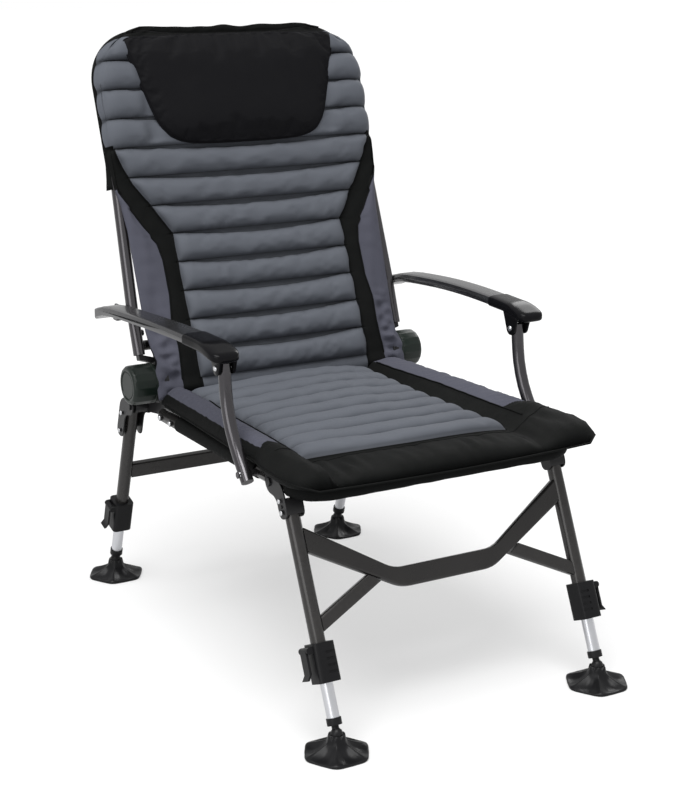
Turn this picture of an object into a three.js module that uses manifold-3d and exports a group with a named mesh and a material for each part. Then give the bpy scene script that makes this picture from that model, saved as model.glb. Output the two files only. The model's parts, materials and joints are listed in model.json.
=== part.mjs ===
// High-back carp fishing chair with a reclining back, linked armrests and four telescopic legs.
// Millimetres. +X is the sitter's left, the chair faces -Y, +Z is up, and the origin lies on the
// ground midway between the four feet.
import * as THREE from "three";
import { mergeVertices } from "three/addons/utils/BufferGeometryUtils.js";
import Module from "manifold-3d";

const wasm = await Module();
wasm.setup();

// Shared sizes
const CLEARANCE = 0.3;
const RUNNING_GAP = 0.5;
const OVERRUN = 6;
const TUBE_DIAMETER = 25;
const TUBE_WALL = 1.5;
const FRAME_HALF_WIDTH = 259;

// Seat frame
const SEAT_TUBE_HEIGHT = 400;
const SEAT_FRONT_Y = -352;
const SEAT_REAR_Y = 186;
const SEAT_CORNER_RADIUS = 48;
const REAR_CROSS_DIAMETER = 20;
const REAR_CROSS_Y = 190;
const REAR_CROSS_DROP = 4;

// Recline joint
const RECLINE_Y = 233;
const RECLINE_RISE = 51;
const RECLINE_Z = SEAT_TUBE_HEIGHT + RECLINE_RISE;
const RECLINE_ANGLE = 18.5;
const DISC_RADIUS = 39;
const PLATE_THICKNESS = 4;
const PLATE_BOLT_DIAMETER = 6;
const PLATE_BOLT_FRONT_Y = 128;
const PLATE_BOLT_REAR_Y = 172;
const BOLT_HEAD_HEIGHT = 3;
const HINGE_THICKNESS = 8;
const HINGE_WIDTH = 14;
const HINGE_BORE_DIAMETER = 12;
const RECLINE_BOLT_DIAMETER = 10;
const RECLINE_BOLT_HEAD_DIAMETER = 26;
const KNOB_DIAMETER = 75;
const KNOB_LENGTH = 53;
const KNOB_GAP = 3;
const KNOB_FLUTES = 12;
const FLUTE_POINTS = 3;
const KNOB_FLUTE_DEPTH = 2.5;
const KNOB_ROUNDING = 4;
const KNOB_DISH_DIAMETER = 52;
const KNOB_DISH_DEPTH = 1.5;
const KNOB_CAP_THICKNESS = 7;

// Back frame
const BACK_TUBE_DIAMETER = 22;
const BACK_OUTSET = 18;
const BACK_HALF_WIDTH = FRAME_HALF_WIDTH + BACK_OUTSET;
const BACK_TUBE_START = 53;
const BACK_TUBE_TOP = 640;
const BACK_TUBE_KNEE = 140;
const BACK_TOP_INSET = 18;
const BACK_TOP_HALF_WIDTH = BACK_HALF_WIDTH - BACK_TOP_INSET;
const BACK_CORNER_RADIUS = 85;
const TONGUE_CRANK_START = 40;
const TONGUE_CRANK_RISE = 8;
const TONGUE_TOP = 124;
const TONGUE_BOLT_LOW = 72;
const TONGUE_BOLT_HIGH = 94;
const LOWER_TUBE_DIAMETER = 19;
const LOWER_TUBE_ALONG = 72;
const LOWER_TUBE_BEHIND = 26;

// Armrest linkage: pivot points in the side view
const ARM_FRONT_PIVOT_Y = -141;
const ARM_FRONT_PIVOT_RISE = 166;
const ARM_FRONT_PIVOT_Z = SEAT_TUBE_HEIGHT + ARM_FRONT_PIVOT_RISE;
const ARM_REAR_PIVOT_Y = 302;
const ARM_REAR_PIVOT_RISE = 175;
const ARM_REAR_PIVOT_Z = SEAT_TUBE_HEIGHT + ARM_REAR_PIVOT_RISE;
const UPRIGHT_PIVOT_Y = -210;
const UPRIGHT_PIVOT_RISE = 2;
const UPRIGHT_PIVOT_Z = SEAT_TUBE_HEIGHT + UPRIGHT_PIVOT_RISE;
const LINK_PIN_DIAMETER = 6;
const UPRIGHT_OUTSET = 35;
const UPRIGHT_HALF_WIDTH = FRAME_HALF_WIDTH + UPRIGHT_OUTSET;
const UPRIGHT_DIAMETER = 22;
const UPRIGHT_TOP_STUB = 7;
const UPRIGHT_FOOT_STUB = 15;
const UPRIGHT_BOW = 19;
const UPRIGHT_PLUG = 5;
const LUG_THICKNESS = 4;
const LUG_RADIUS = 9;
const EAR_THICKNESS = 3;
const EAR_MARGIN = 3;
const SLOT_HEIGHT = 24;
const SLOT_WIDTH = 14;

// Armrests
const ARM_WIDTH = 45;
const ARM_THICKNESS = 18;
const ARM_WALL = 2;
const ARM_ROUNDING = 7;
const ARM_REAR_Y = 318;
const ARM_NOSE_Y = -178;
const ARM_CREST_Y = -10;
const ARM_CREST_RISE = 201;
const ARM_CREST_Z = SEAT_TUBE_HEIGHT + ARM_CREST_RISE;
const ARM_REAR_DROP = 18;
const ARM_TIP_DROP = 11;
const ARM_TIP_LENGTH = 70;
const ARM_NOSE_DROP = 13;
const ARM_NOSE_LENGTH = 55;
const ARM_REAR_OUTSET = 25.5;
const ARM_FRONT_OUTSET = 10;
const ARM_REAR_CENTRE_X = UPRIGHT_HALF_WIDTH + ARM_REAR_OUTSET;
const ARM_FRONT_CENTRE_X = UPRIGHT_HALF_WIDTH + ARM_FRONT_OUTSET;
const ARM_SPLAY_LENGTH = 330;
const CAP_REAR_Y = -62;
const CAP_WALL = 1.5;
const CAP_BAR_INSERT = 80;
const CLEVIS_CHEEK = 4;
const CLEVIS_RADIUS = 13;
const CLEVIS_LENGTH = 38;

// Legs
const FRONT_SPLAY = 23.8;
const REAR_SPLAY = 18.4;
const FRONT_PIVOT_Z = SEAT_TUBE_HEIGHT;
const REAR_PIVOT_DROP = 8;
const REAR_PIVOT_Z = SEAT_TUBE_HEIGHT - REAR_PIVOT_DROP;
const FRONT_OFFSET = 26.4;
const REAR_OFFSET = 28.6;
const FRONT_TUBE_START = 33;
const REAR_TUBE_START = 20;
const FOOT_REACH = 448;
const BALL_HEIGHT = 34;
const LEG_PIN_DIAMETER = 8;
const PIVOT_RADIUS = 14;
const BRACKET_WALL = 2.5;
const FRONT_BRACKET_END = 66;
const REAR_BRACKET_END = 84;
const FRONT_WEB_START = 36;
const REAR_WEB_START = 22;
const FRONT_BRACKET_SIDE_GAP = 1.2;
const REAR_BRACKET_SIDE_GAP = 5.5;

// Front leg brace frame, measured down the legs from the fold pivot
const BRACE_THICKNESS = 16;
const BRACE_ROUNDING = 4;
const CROSS_DEPTH = 34;
const BRACE_DEPTH = 23;
const CROSS_BAR_TOP = 176;
const CROSS_LEG_TOP = 76;
const CROSS_LEG_DEPTH = 42;
const CROSS_BEND_INSET = 160;
const FORK_INSET = 101;
const CROSS_HALF_WIDTH = FRAME_HALF_WIDTH - CROSS_BEND_INSET;
const FORK_HALF_WIDTH = FRAME_HALF_WIDTH - FORK_INSET;
const FORK_TOP = 182;
const BRACE_LEG_TOP = 232;
const REAR_BAR_TOP = 154;
const REAR_BAR_DEPTH = 32;

// Leg clamps and telescopic legs
const CLAMP_HEIGHT = 63;
const CLAMP_SIDE = 19;
const CLAMP_FRONT = 21;
const CLAMP_REAR = 18;
const CLAMP_ROUNDING = 8;
const CLAMP_SOCKET = 36;
const CLAMP_RIDGES = 4;
const CLAMP_RIDGE_WIDTH = 4;
const CLAMP_RIDGE_DEPTH = 1.6;
const CLAMP_RIDGE_LENGTH = 20;
const LEVER_WIDTH = 20;
const LEVER_THICKNESS = 4;
const LEVER_KNUCKLE_RADIUS = 5.5;
const LEVER_PIN_DIAMETER = 4;
const LEVER_PIN_DROP = 9;
const LEVER_LENGTH = 46;
const LEVER_TIP_FLARE = 6;
const LEVER_TIP_LENGTH = 9;
const INNER_LEG_DIAMETER = 21;
const INNER_LEG_SHOWN = 56;
const INNER_LEG_INSERTED = 160;
const COLLAR_DIAMETER = 25;
const COLLAR_HEIGHT = 12;
const COLLAR_SEAT = 6;
const COLLAR_CLEAR_OF_BALL = 14;
const NECK_DIAMETER = 12;
const BALL_DIAMETER = 21;

// Feet
const FOOT_RADIUS = 55;
const FOOT_RIM_HEIGHT = 5;
const FOOT_SHOULDER_HEIGHT = 19;
const FOOT_SHOULDER_RADIUS = 27;
const FOOT_HUB_RADIUS = 15;
const FOOT_SOCKET_LIFT = 1;
const FOOT_LOBES = 6;
const FOOT_LOBE_DEPTH = 3.5;
const FOOT_CUP_DEPTH = 5;

// Soft goods
const FABRIC = 2;
const SLING_REAR_Y = 112;
const SLING_BARE_REAR_Y = -196;
const SLING_BARE_FRONT_Y = -318;
const SEAT_PAD_REAR_Y = 178;
const SEAT_PAD_FRONT_Y = -400;
const SEAT_PAD_BOW = 18;
const SEAT_PAD_REAR_OUTSET = 6;
const SEAT_PAD_FRONT_OUTSET = 41;
const SEAT_PAD_REAR_HALF = FRAME_HALF_WIDTH + SEAT_PAD_REAR_OUTSET;
const SEAT_PAD_FRONT_HALF = FRAME_HALF_WIDTH + SEAT_PAD_FRONT_OUTSET;
const SEAT_PAD_EDGE = 17;
const SEAT_PAD_CROWN = 36;
const SEAT_PAD_DROOP = 12;
const SEAT_PAD_DROOP_Y = -372;
const SEAT_CHANNELS = 8;
const BACK_CHANNELS = 12;
const CHANNEL_DEPTH = 5;
const CHANNEL_INSET = 77;
const CHANNEL_HALF_WIDTH = FRAME_HALF_WIDTH - CHANNEL_INSET;
const SEAT_CHANNEL_FRONT_Y = -318;
const SEAT_CHANNEL_REAR_Y = 112;
const BACK_PAD_START = -10;
const BACK_PAD_TOP = 656;
const BACK_PAD_HIP_INSET = 39;
const BACK_PAD_WAIST_INSET = 10;
const BACK_PAD_SHOULDER_OUTSET = 2;
const BACK_PAD_HIP_HALF = BACK_HALF_WIDTH - BACK_PAD_HIP_INSET;
const BACK_PAD_WAIST_HALF = BACK_HALF_WIDTH - BACK_PAD_WAIST_INSET;
const BACK_PAD_SHOULDER_HALF = BACK_HALF_WIDTH + BACK_PAD_SHOULDER_OUTSET;
const BACK_PAD_REAR = 8;
const BACK_PAD_FRONT = 48;
const BACK_PAD_TOP_FRONT = 31;
const BACK_PAD_EDGE = 22;
const BACK_CHANNEL_START = -4;
const HIP_END = 52;
const HIP_BLEND = 40;
const POCKET_START = 364;
const POCKET_BLEND = 40;
const POCKET_TOP = 658;
const HEADREST_BOTTOM = 434;
const HEADREST_TOP = 641;
const HEADREST_BOTTOM_INSET = 113;
const HEADREST_TOP_INSET = 59;
const HEADREST_BOTTOM_HALF = BACK_HALF_WIDTH - HEADREST_BOTTOM_INSET;
const HEADREST_TOP_HALF = BACK_HALF_WIDTH - HEADREST_TOP_INSET;
const HEADREST_FRONT = 46;
const HEADREST_EDGE = 8;
const HEADREST_CORNER = 56;

// Facet counts
const ROUND_SIDES = 14;
const SMALL_SIDES = 10;
const HEX_SIDES = 6;
const BORE_SIDES = 8;
const BEND_STEPS = 5;
const PLATE_STEPS = 4;
const ARM_STEP = 32;
const UPRIGHT_STATIONS = 9;
const FOOT_SIDES = 24;
const FOOT_CUP_STEPS = 3;
const FOOT_CUP_SIDES = 4 * FOOT_CUP_STEPS;
const HOUSING_CORNER_STEPS = 3;
const PAD_COLUMNS = 8;
const SEAT_PAD_ROWS = 46;
const BACK_PAD_ROWS = 53;
const HEADREST_ROWS = 10;

// Finishes, one material each
const finish = (name, color, roughness, metalness) =>
  new THREE.MeshStandardMaterial({ name, color, roughness, metalness });
const FRAME_PAINT = finish("frame_paint", 0x2b2827, 0.38, 0.6);
const LINK_PAINT = finish("link_paint", 0x353233, 0.22, 0.7);
const ARM_GLOSS = finish("arm_gloss", 0x3a3a3c, 0.2, 0.5);
const BLACK_GLOSS = finish("black_gloss", 0x0c0c0e, 0.25, 0);
const BLACK_PLASTIC = finish("black_plastic", 0x141416, 0.6, 0);
const KNOB_PLASTIC = finish("knob_plastic", 0x1b2620, 0.5, 0);
const BRIGHT_ALUMINIUM = finish("bright_aluminium", 0xd9dade, 0.3, 1);
const ZINC = finish("zinc", 0xb9bcc0, 0.35, 1);
const BLACK_STEEL = finish("black_steel", 0x1a1a1c, 0.45, 0.5);
const BLACK_FABRIC = finish("black_fabric", 0x101012, 0.9, 0);
const GREY_FABRIC = finish("grey_fabric", 0x5a5c63, 0.85, 0);
const HEADREST_FABRIC = finish("headrest_fabric", 0x17171b, 0.8, 0);

// Powers: how squarely a soft form runs into its border
const CROWN_POWER_ACROSS = 6;
const CROWN_POWER_ALONG = 10;
const PAD_CORNER_POWER = 10;
const PAD_FRONT_POWER = 24;

// Shares: how far along or across their own piece these points lie
const UPRIGHT_ROUTE_SHARES = [0, 0.2, 0.42, 0.66, 0.85, 1];
const SEAT_PAD_WIDTH_SHARES = [0, 0.61, 1];

const degrees = THREE.MathUtils.degToRad;
const smooth = (value, from, to) => THREE.MathUtils.smoothstep(value, from, to);
const mix = THREE.MathUtils.lerp;

// Solids
function solidOf(geometry) {
  const bare = geometry.clone();
  bare.deleteAttribute("normal");
  bare.deleteAttribute("uv");
  const merged = mergeVertices(bare);
  return new wasm.Manifold(
    new wasm.Mesh({
      numProp: 3,
      vertProperties: merged.getAttribute("position").array,
      triVerts: new Uint32Array(merged.index.array),
    }),
  );
}

function geometryOf(solid) {
  const mesh = solid.getMesh();
  return new THREE.BufferGeometry()
    .setAttribute("position", new THREE.BufferAttribute(mesh.vertProperties, 3))
    .setIndex(new THREE.BufferAttribute(mesh.triVerts, 1));
}

const join = (first, ...more) =>
  geometryOf(more.reduce((whole, piece) => whole.add(solidOf(piece)), solidOf(first)));
const cut = (body, ...tools) =>
  geometryOf(tools.reduce((rest, tool) => rest.subtract(solidOf(tool)), solidOf(body)));

function box(xLow, xHigh, yLow, yHigh, zLow, zHigh) {
  return new THREE.BoxGeometry(xHigh - xLow, yHigh - yLow, zHigh - zLow).translate(
    (xLow + xHigh) / 2,
    (yLow + yHigh) / 2,
    (zLow + zHigh) / 2,
  );
}

// A round pin along X from xLow to xHigh
function pinX(diameter, xLow, xHigh, y, z, sides = SMALL_SIDES) {
  return new THREE.CylinderGeometry(diameter / 2, diameter / 2, xHigh - xLow, sides)
    .rotateZ(Math.PI / 2)
    .translate((xLow + xHigh) / 2, y, z);
}

// The diameter of a faceted hole that clears a round bar all round
const boreOver = (diameter, sides = ROUND_SIDES) =>
  (diameter + 2 * CLEARANCE) / Math.cos(Math.PI / sides);

// A round bar along Z from zLow to zHigh
function barZ(diameter, zLow, zHigh, x, y, sides = ROUND_SIDES) {
  return new THREE.CylinderGeometry(diameter / 2, diameter / 2, zHigh - zLow, sides)
    .rotateX(Math.PI / 2)
    .translate(x, y, (zLow + zHigh) / 2);
}

// A round bar along Y from yLow to yHigh
function barY(diameter, yLow, yHigh, x, z, sides = SMALL_SIDES) {
  return new THREE.CylinderGeometry(diameter / 2, diameter / 2, yHigh - yLow, sides).translate(
    x,
    (yLow + yHigh) / 2,
    z,
  );
}

// A side-view outline drawn in (Y, Z) and extruded along X from xLow to xHigh
function sidePlate(shape, xLow, xHigh, rounding = 0, roundSteps = 2) {
  const toSide = new THREE.Matrix4().makeBasis(
    new THREE.Vector3(0, 1, 0),
    new THREE.Vector3(0, 0, 1),
    new THREE.Vector3(1, 0, 0),
  );
  return new THREE.ExtrudeGeometry(shape, {
    depth: xHigh - xLow - 2 * rounding,
    bevelEnabled: rounding > 0,
    bevelThickness: rounding,
    bevelSize: rounding,
    bevelOffset: -rounding,
    bevelSegments: roundSteps,
    curveSegments: PLATE_STEPS,
  })
    .translate(0, 0, rounding)
    .applyMatrix4(toSide)
    .translate(xLow, 0, 0);
}

// A front-view outline drawn in (X, Z) and extruded along Y about y, rounded at its edges
function facePlate(shape, y, thickness, rounding = 0) {
  return new THREE.ExtrudeGeometry(shape, {
    depth: thickness - 2 * rounding,
    bevelEnabled: rounding > 0,
    bevelThickness: rounding,
    bevelSize: rounding,
    bevelOffset: -rounding,
    bevelSegments: 2,
    curveSegments: PLATE_STEPS,
  })
    .translate(0, 0, rounding - thickness / 2)
    .rotateX(Math.PI / 2)
    .translate(0, y, 0);
}

// A path of straight runs with rounded bends, sampled only where it turns
class BentPath extends THREE.Curve {
  constructor(corners, radius, steps = BEND_STEPS) {
    super();
    this.points = [corners[0]];
    this.tangents = [corners[1].clone().sub(corners[0]).normalize()];
    for (let i = 1; i < corners.length - 1; i++) this.bend(corners, i, radius, steps);
    const last = corners.length - 1;
    this.points.push(corners[last]);
    this.tangents.push(corners[last].clone().sub(corners[last - 1]).normalize());
    this.stations = this.points.length - 1;
  }

  bend(corners, i, radius, steps) {
    const into = corners[i].clone().sub(corners[i - 1]).normalize();
    const out = corners[i + 1].clone().sub(corners[i]).normalize();
    const turn = into.angleTo(out);
    const bendSteps = Math.ceil((steps * turn) / (Math.PI / 2));
    const axis = into.clone().cross(out).normalize();
    const start = corners[i].clone().addScaledVector(into, -radius * Math.tan(turn / 2));
    const toCentre = axis.clone().cross(into);
    const centre = start.clone().addScaledVector(toCentre, radius);
    for (let k = 0; k <= bendSteps; k++) {
      const angle = (turn * k) / bendSteps;
      this.points.push(
        toCentre.clone().multiplyScalar(-radius).applyAxisAngle(axis, angle).add(centre),
      );
      this.tangents.push(into.clone().applyAxisAngle(axis, angle));
    }
  }

  getPointAt(u) {
    return this.points[Math.round(u * this.stations)].clone();
  }

  getTangentAt(u) {
    return this.tangents[Math.round(u * this.stations)].clone();
  }

  getSpacedPoints() {
    return this.points.map((point) => point.clone());
  }
}

// The points of a round outline
const ring = (diameter, sides) =>
  Array.from({ length: sides }, (_, i) => {
    const angle = (2 * Math.PI * (i + 1 / 2)) / sides;
    return new THREE.Vector2(Math.cos(angle), Math.sin(angle)).multiplyScalar(diameter / 2);
  });

// A round section swept along a bent path, hollow when a bore is given
function sweep(path, diameter, bore = 0, sides = ROUND_SIDES) {
  const section = new THREE.Shape(ring(diameter, sides));
  if (bore > 0) section.holes.push(new THREE.Path(ring(bore, BORE_SIDES)));
  return new THREE.ExtrudeGeometry(section, { steps: path.stations, extrudePath: path });
}

// The rounded bar between two circles, drawn in the shape's own plane
function linkShape(x1, y1, r1, x2, y2, r2) {
  const heading = Math.atan2(y2 - y1, x2 - x1);
  const lean = Math.acos((r1 - r2) / Math.hypot(x2 - x1, y2 - y1));
  const shape = new THREE.Shape();
  shape.absarc(x1, y1, r1, heading + lean, heading - lean + 2 * Math.PI);
  shape.absarc(x2, y2, r2, heading - lean, heading + lean);
  return shape;
}

// A polygon whose corners are rounded to one radius
function roundedShape(corners, radius) {
  const shape = new THREE.Shape();
  const count = corners.length;
  corners.forEach(([x, y], i) => {
    const here = new THREE.Vector2(x, y);
    const before = new THREE.Vector2(...corners[(i + count - 1) % count]).sub(here);
    const after = new THREE.Vector2(...corners[(i + 1) % count]).sub(here);
    const reach = Math.min(radius, before.length() / 2, after.length() / 2);
    const from = here.clone().addScaledVector(before.normalize(), reach);
    const to = here.clone().addScaledVector(after.normalize(), reach);
    if (i === 0) shape.moveTo(from.x, from.y);
    else shape.lineTo(from.x, from.y);
    shape.quadraticCurveTo(x, y, to.x, to.y);
  });
  shape.closePath();
  return shape;
}

// A closed cushion: a grid of columns across and rows along, whose top and bottom meet at its border
function cushion(columns, rows, place) {
  const vertices = [];
  const faces = [];
  const ids = new Map();
  const vertex = (i, j, side) => {
    const border = i === 0 || j === 0 || i === columns || j === rows;
    const key = `${i},${j},${border ? 0 : side}`;
    if (!ids.has(key)) {
      ids.set(key, vertices.length / 3);
      vertices.push(...place(-Math.cos((Math.PI * i) / columns), j / rows, border ? 0 : side));
    }
    return ids.get(key);
  };
  for (let i = 0; i < columns; i++)
    for (let j = 0; j < rows; j++)
      for (const side of [1, -1]) {
        const [a, b, c, d] = [
          vertex(i, j, side),
          vertex(i + 1, j, side),
          vertex(i + 1, j + 1, side),
          vertex(i, j + 1, side),
        ];
        if (side > 0) faces.push(a, b, c, a, c, d);
        else faces.push(a, c, b, a, d, c);
      }
  return new THREE.BufferGeometry()
    .setAttribute("position", new THREE.BufferAttribute(new Float32Array(vertices), 3))
    .setIndex(faces);
}

const mesh = (name, material, geometry) => {
  const made = new THREE.Mesh(geometry, material);
  made.name = name;
  return made;
};

// Lengths that several sub-parts share
const tubeRadius = TUBE_DIAMETER / 2;
const tubeBore = TUBE_DIAMETER - 2 * TUBE_WALL;
const backTubeRadius = BACK_TUBE_DIAMETER / 2;
const railOuterX = FRAME_HALF_WIDTH + tubeRadius;
const plateHighX = FRAME_HALF_WIDTH - tubeRadius - CLEARANCE;
const plateLowX = plateHighX - PLATE_THICKNESS;
const hingeLowX = plateHighX + RUNNING_GAP;
const hingeHighX = hingeLowX + HINGE_THICKNESS;
const knobLowX = hingeHighX + KNOB_GAP;
const knobHighX = knobLowX + KNOB_LENGTH;
const boltEndX = knobHighX - KNOB_CAP_THICKNESS;

// Where a leg's ball, fold pivot and clamp lie, from the reach of its foot on the ground
function legLayout(toRear) {
  const splay = degrees(toRear ? REAR_SPLAY : FRONT_SPLAY);
  const offset = toRear ? REAR_OFFSET : FRONT_OFFSET;
  const pivotZ = toRear ? REAR_PIVOT_Z : FRONT_PIVOT_Z;
  const ball = (pivotZ - BALL_HEIGHT + offset * Math.sin(splay)) / Math.cos(splay);
  const reach = offset * Math.cos(splay) + ball * Math.sin(splay);
  const sign = toRear ? 1 : -1;
  const clampEnd = ball - COLLAR_CLEAR_OF_BALL - COLLAR_HEIGHT - INNER_LEG_SHOWN;
  return {
    sign,
    ball,
    clampEnd,
    pivotY: sign * (FOOT_REACH - reach),
    pivotZ,
    turn: sign * splay,
    legY: sign * offset,
    clampStart: clampEnd - CLAMP_HEIGHT,
    tubeStart: toRear ? REAR_TUBE_START : FRONT_TUBE_START,
    bracketEnd: toRear ? REAR_BRACKET_END : FRONT_BRACKET_END,
    webStart: toRear ? REAR_WEB_START : FRONT_WEB_START,
    sideGap: toRear ? REAR_BRACKET_SIDE_GAP : FRONT_BRACKET_SIDE_GAP,
  };
}
const FRONT = legLayout(false);
const REAR = legLayout(true);

// Seat frame: one tube bent round the front, with the holes its pins need
function seatTubePath(rearY) {
  const z = SEAT_TUBE_HEIGHT;
  const x = FRAME_HALF_WIDTH;
  return new BentPath(
    [
      new THREE.Vector3(x, rearY, z),
      new THREE.Vector3(x, SEAT_FRONT_Y, z),
      new THREE.Vector3(-x, SEAT_FRONT_Y, z),
      new THREE.Vector3(-x, rearY, z),
    ],
    SEAT_CORNER_RADIUS,
  );
}

function seatFrame() {
  const tools = [];
  for (const side of [-1, 1]) {
    const across = (diameter, y, z) =>
      pinX(
        diameter + 2 * CLEARANCE,
        side * FRAME_HALF_WIDTH - TUBE_DIAMETER,
        side * FRAME_HALF_WIDTH + TUBE_DIAMETER,
        y,
        z,
      );
    tools.push(across(LEG_PIN_DIAMETER, FRONT.pivotY, FRONT_PIVOT_Z));
    tools.push(across(LINK_PIN_DIAMETER, UPRIGHT_PIVOT_Y, UPRIGHT_PIVOT_Z));
    for (const y of [PLATE_BOLT_FRONT_Y, PLATE_BOLT_REAR_Y])
      tools.push(across(PLATE_BOLT_DIAMETER, y, SEAT_TUBE_HEIGHT));
  }
  return cut(sweep(seatTubePath(SEAT_REAR_Y), TUBE_DIAMETER, tubeBore), ...tools);
}

function rearCrossTube() {
  const half = plateLowX - CLEARANCE;
  const z = SEAT_TUBE_HEIGHT - REAR_CROSS_DROP;
  const bore = REAR_CROSS_DIAMETER - 2 * TUBE_WALL;
  return cut(
    pinX(REAR_CROSS_DIAMETER, -half, half, REAR_CROSS_Y, z, ROUND_SIDES),
    pinX(bore, -half - OVERRUN, half + OVERRUN, REAR_CROSS_Y, z, ROUND_SIDES),
  );
}

// Joint plate: recline disc, rail arm with its two bolts, and the ear that carries the rear leg
function jointPlate() {
  const z = SEAT_TUBE_HEIGHT;
  const plate = join(
    sidePlate(linkShape(RECLINE_Y, RECLINE_Z, DISC_RADIUS, REAR.pivotY, REAR_PIVOT_Z, PIVOT_RADIUS),
      plateLowX, plateHighX),
    sidePlate(linkShape(RECLINE_Y, z, tubeRadius, PLATE_BOLT_FRONT_Y, z, tubeRadius),
      plateLowX, plateHighX),
    sidePlate(linkShape(RECLINE_Y, z, tubeRadius, REAR.pivotY, REAR_PIVOT_Z, PIVOT_RADIUS),
      plateLowX, plateHighX),
    pinX(2 * PIVOT_RADIUS, plateHighX - CLEARANCE, railOuterX, REAR.pivotY, REAR_PIVOT_Z),
    pinX(REAR_CROSS_DIAMETER - 2 * TUBE_WALL - 2 * CLEARANCE, plateLowX - REAR_CROSS_DIAMETER,
      plateLowX + CLEARANCE, REAR_CROSS_Y, z - REAR_CROSS_DROP),
    ...[PLATE_BOLT_FRONT_Y, PLATE_BOLT_REAR_Y].flatMap((y) => [
      pinX(PLATE_BOLT_DIAMETER, plateLowX, railOuterX + CLEARANCE + BOLT_HEAD_HEIGHT, y, z),
      pinX(2 * PLATE_BOLT_DIAMETER, railOuterX + CLEARANCE,
        railOuterX + CLEARANCE + BOLT_HEAD_HEIGHT, y, z, HEX_SIDES),
    ]),
  );
  return cut(
    plate,
    pinX(RECLINE_BOLT_DIAMETER + 2 * CLEARANCE, plateLowX - OVERRUN, plateHighX + OVERRUN,
      RECLINE_Y, RECLINE_Z),
    pinX(LEG_PIN_DIAMETER + 2 * CLEARANCE, plateLowX - OVERRUN, railOuterX + OVERRUN,
      REAR.pivotY, REAR_PIVOT_Z),
  );
}

// Recline bolt: head inside the plate, shank out through both discs into the knob
function reclineBolt() {
  const headX = plateLowX - CLEARANCE;
  return join(
    pinX(RECLINE_BOLT_DIAMETER, headX, boltEndX - CLEARANCE, 0, 0),
    pinX(RECLINE_BOLT_HEAD_DIAMETER, headX - BOLT_HEAD_HEIGHT, headX, 0, 0, HEX_SIDES),
  );
}

// Knob: fluted grip with a dished face and a blind bore for the bolt
function knob() {
  const outline = new THREE.Shape();
  const steps = KNOB_FLUTES * FLUTE_POINTS;
  for (let i = 0; i < steps; i++) {
    const angle = (2 * Math.PI * i) / steps;
    const flute = i % FLUTE_POINTS === 0 ? KNOB_FLUTE_DEPTH : 0;
    const radius = KNOB_DIAMETER / 2 - flute;
    if (i === 0) outline.moveTo(radius * Math.cos(angle), radius * Math.sin(angle));
    else outline.lineTo(radius * Math.cos(angle), radius * Math.sin(angle));
  }
  outline.closePath();
  return cut(
    sidePlate(outline, knobLowX, knobHighX, KNOB_ROUNDING, 1),
    pinX(KNOB_DISH_DIAMETER, knobHighX - KNOB_DISH_DEPTH, knobHighX + OVERRUN, 0, 0, 2 * ROUND_SIDES),
    pinX(RECLINE_BOLT_DIAMETER + 2 * CLEARANCE, knobLowX - OVERRUN, boltEndX, 0, 0),
  );
}

// Back frame, drawn upright about the recline axis: an inverted U of tube
function backTubePath() {
  const x = BACK_HALF_WIDTH;
  return new BentPath(
    [
      new THREE.Vector3(x, 0, BACK_TUBE_START),
      new THREE.Vector3(x, 0, BACK_TUBE_KNEE),
      new THREE.Vector3(BACK_TOP_HALF_WIDTH, 0, BACK_TUBE_TOP),
      new THREE.Vector3(-BACK_TOP_HALF_WIDTH, 0, BACK_TUBE_TOP),
      new THREE.Vector3(-x, 0, BACK_TUBE_KNEE),
      new THREE.Vector3(-x, 0, BACK_TUBE_START),
    ],
    BACK_CORNER_RADIUS,
  );
}

function backFrame() {
  const holes = [];
  for (const side of [-1, 1])
    for (const along of [TONGUE_BOLT_LOW, TONGUE_BOLT_HIGH])
      holes.push(
        pinX(
          PLATE_BOLT_DIAMETER + 2 * CLEARANCE,
          side > 0 ? BACK_HALF_WIDTH - BACK_TUBE_DIAMETER : -BACK_HALF_WIDTH,
          side > 0 ? BACK_HALF_WIDTH : BACK_TUBE_DIAMETER - BACK_HALF_WIDTH,
          0,
          along,
        ),
      );
  return cut(sweep(backTubePath(), BACK_TUBE_DIAMETER, BACK_TUBE_DIAMETER - 2 * TUBE_WALL), ...holes);
}

// Hinge arm: a disc on the recline bolt and a cranked tongue bolted inside the back tube
function hingeArm() {
  const low = hingeLowX;
  const high = hingeHighX;
  const shift = BACK_HALF_WIDTH - (low + high) / 2;
  const crankEnd = TONGUE_CRANK_START + TONGUE_CRANK_RISE;
  const tongue = new THREE.Shape();
  tongue.moveTo(low, 0);
  tongue.lineTo(high, 0);
  tongue.lineTo(high, TONGUE_CRANK_START - HINGE_THICKNESS / 2);
  tongue.lineTo(high + shift, crankEnd - HINGE_THICKNESS / 2);
  tongue.lineTo(high + shift, TONGUE_TOP);
  tongue.lineTo(low + shift, TONGUE_TOP);
  tongue.lineTo(low + shift, crankEnd + HINGE_THICKNESS / 2);
  tongue.lineTo(low, TONGUE_CRANK_START + HINGE_THICKNESS / 2);
  tongue.closePath();
  const insideX = BACK_HALF_WIDTH - backTubeRadius - CLEARANCE;
  const bolts = [TONGUE_BOLT_LOW, TONGUE_BOLT_HIGH].flatMap((along) => [
    pinX(PLATE_BOLT_DIAMETER, insideX - BOLT_HEAD_HEIGHT, BACK_HALF_WIDTH, 0, along),
    pinX(2 * PLATE_BOLT_DIAMETER, insideX - BOLT_HEAD_HEIGHT, insideX, 0, along, HEX_SIDES),
  ]);
  return cut(
    join(
      pinX(2 * DISC_RADIUS, low, high, 0, 0, 2 * ROUND_SIDES),
      facePlate(tongue, 0, HINGE_WIDTH),
      ...bolts,
    ),
    pinX(HINGE_BORE_DIAMETER, low - OVERRUN, high + OVERRUN, 0, 0),
  );
}

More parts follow.
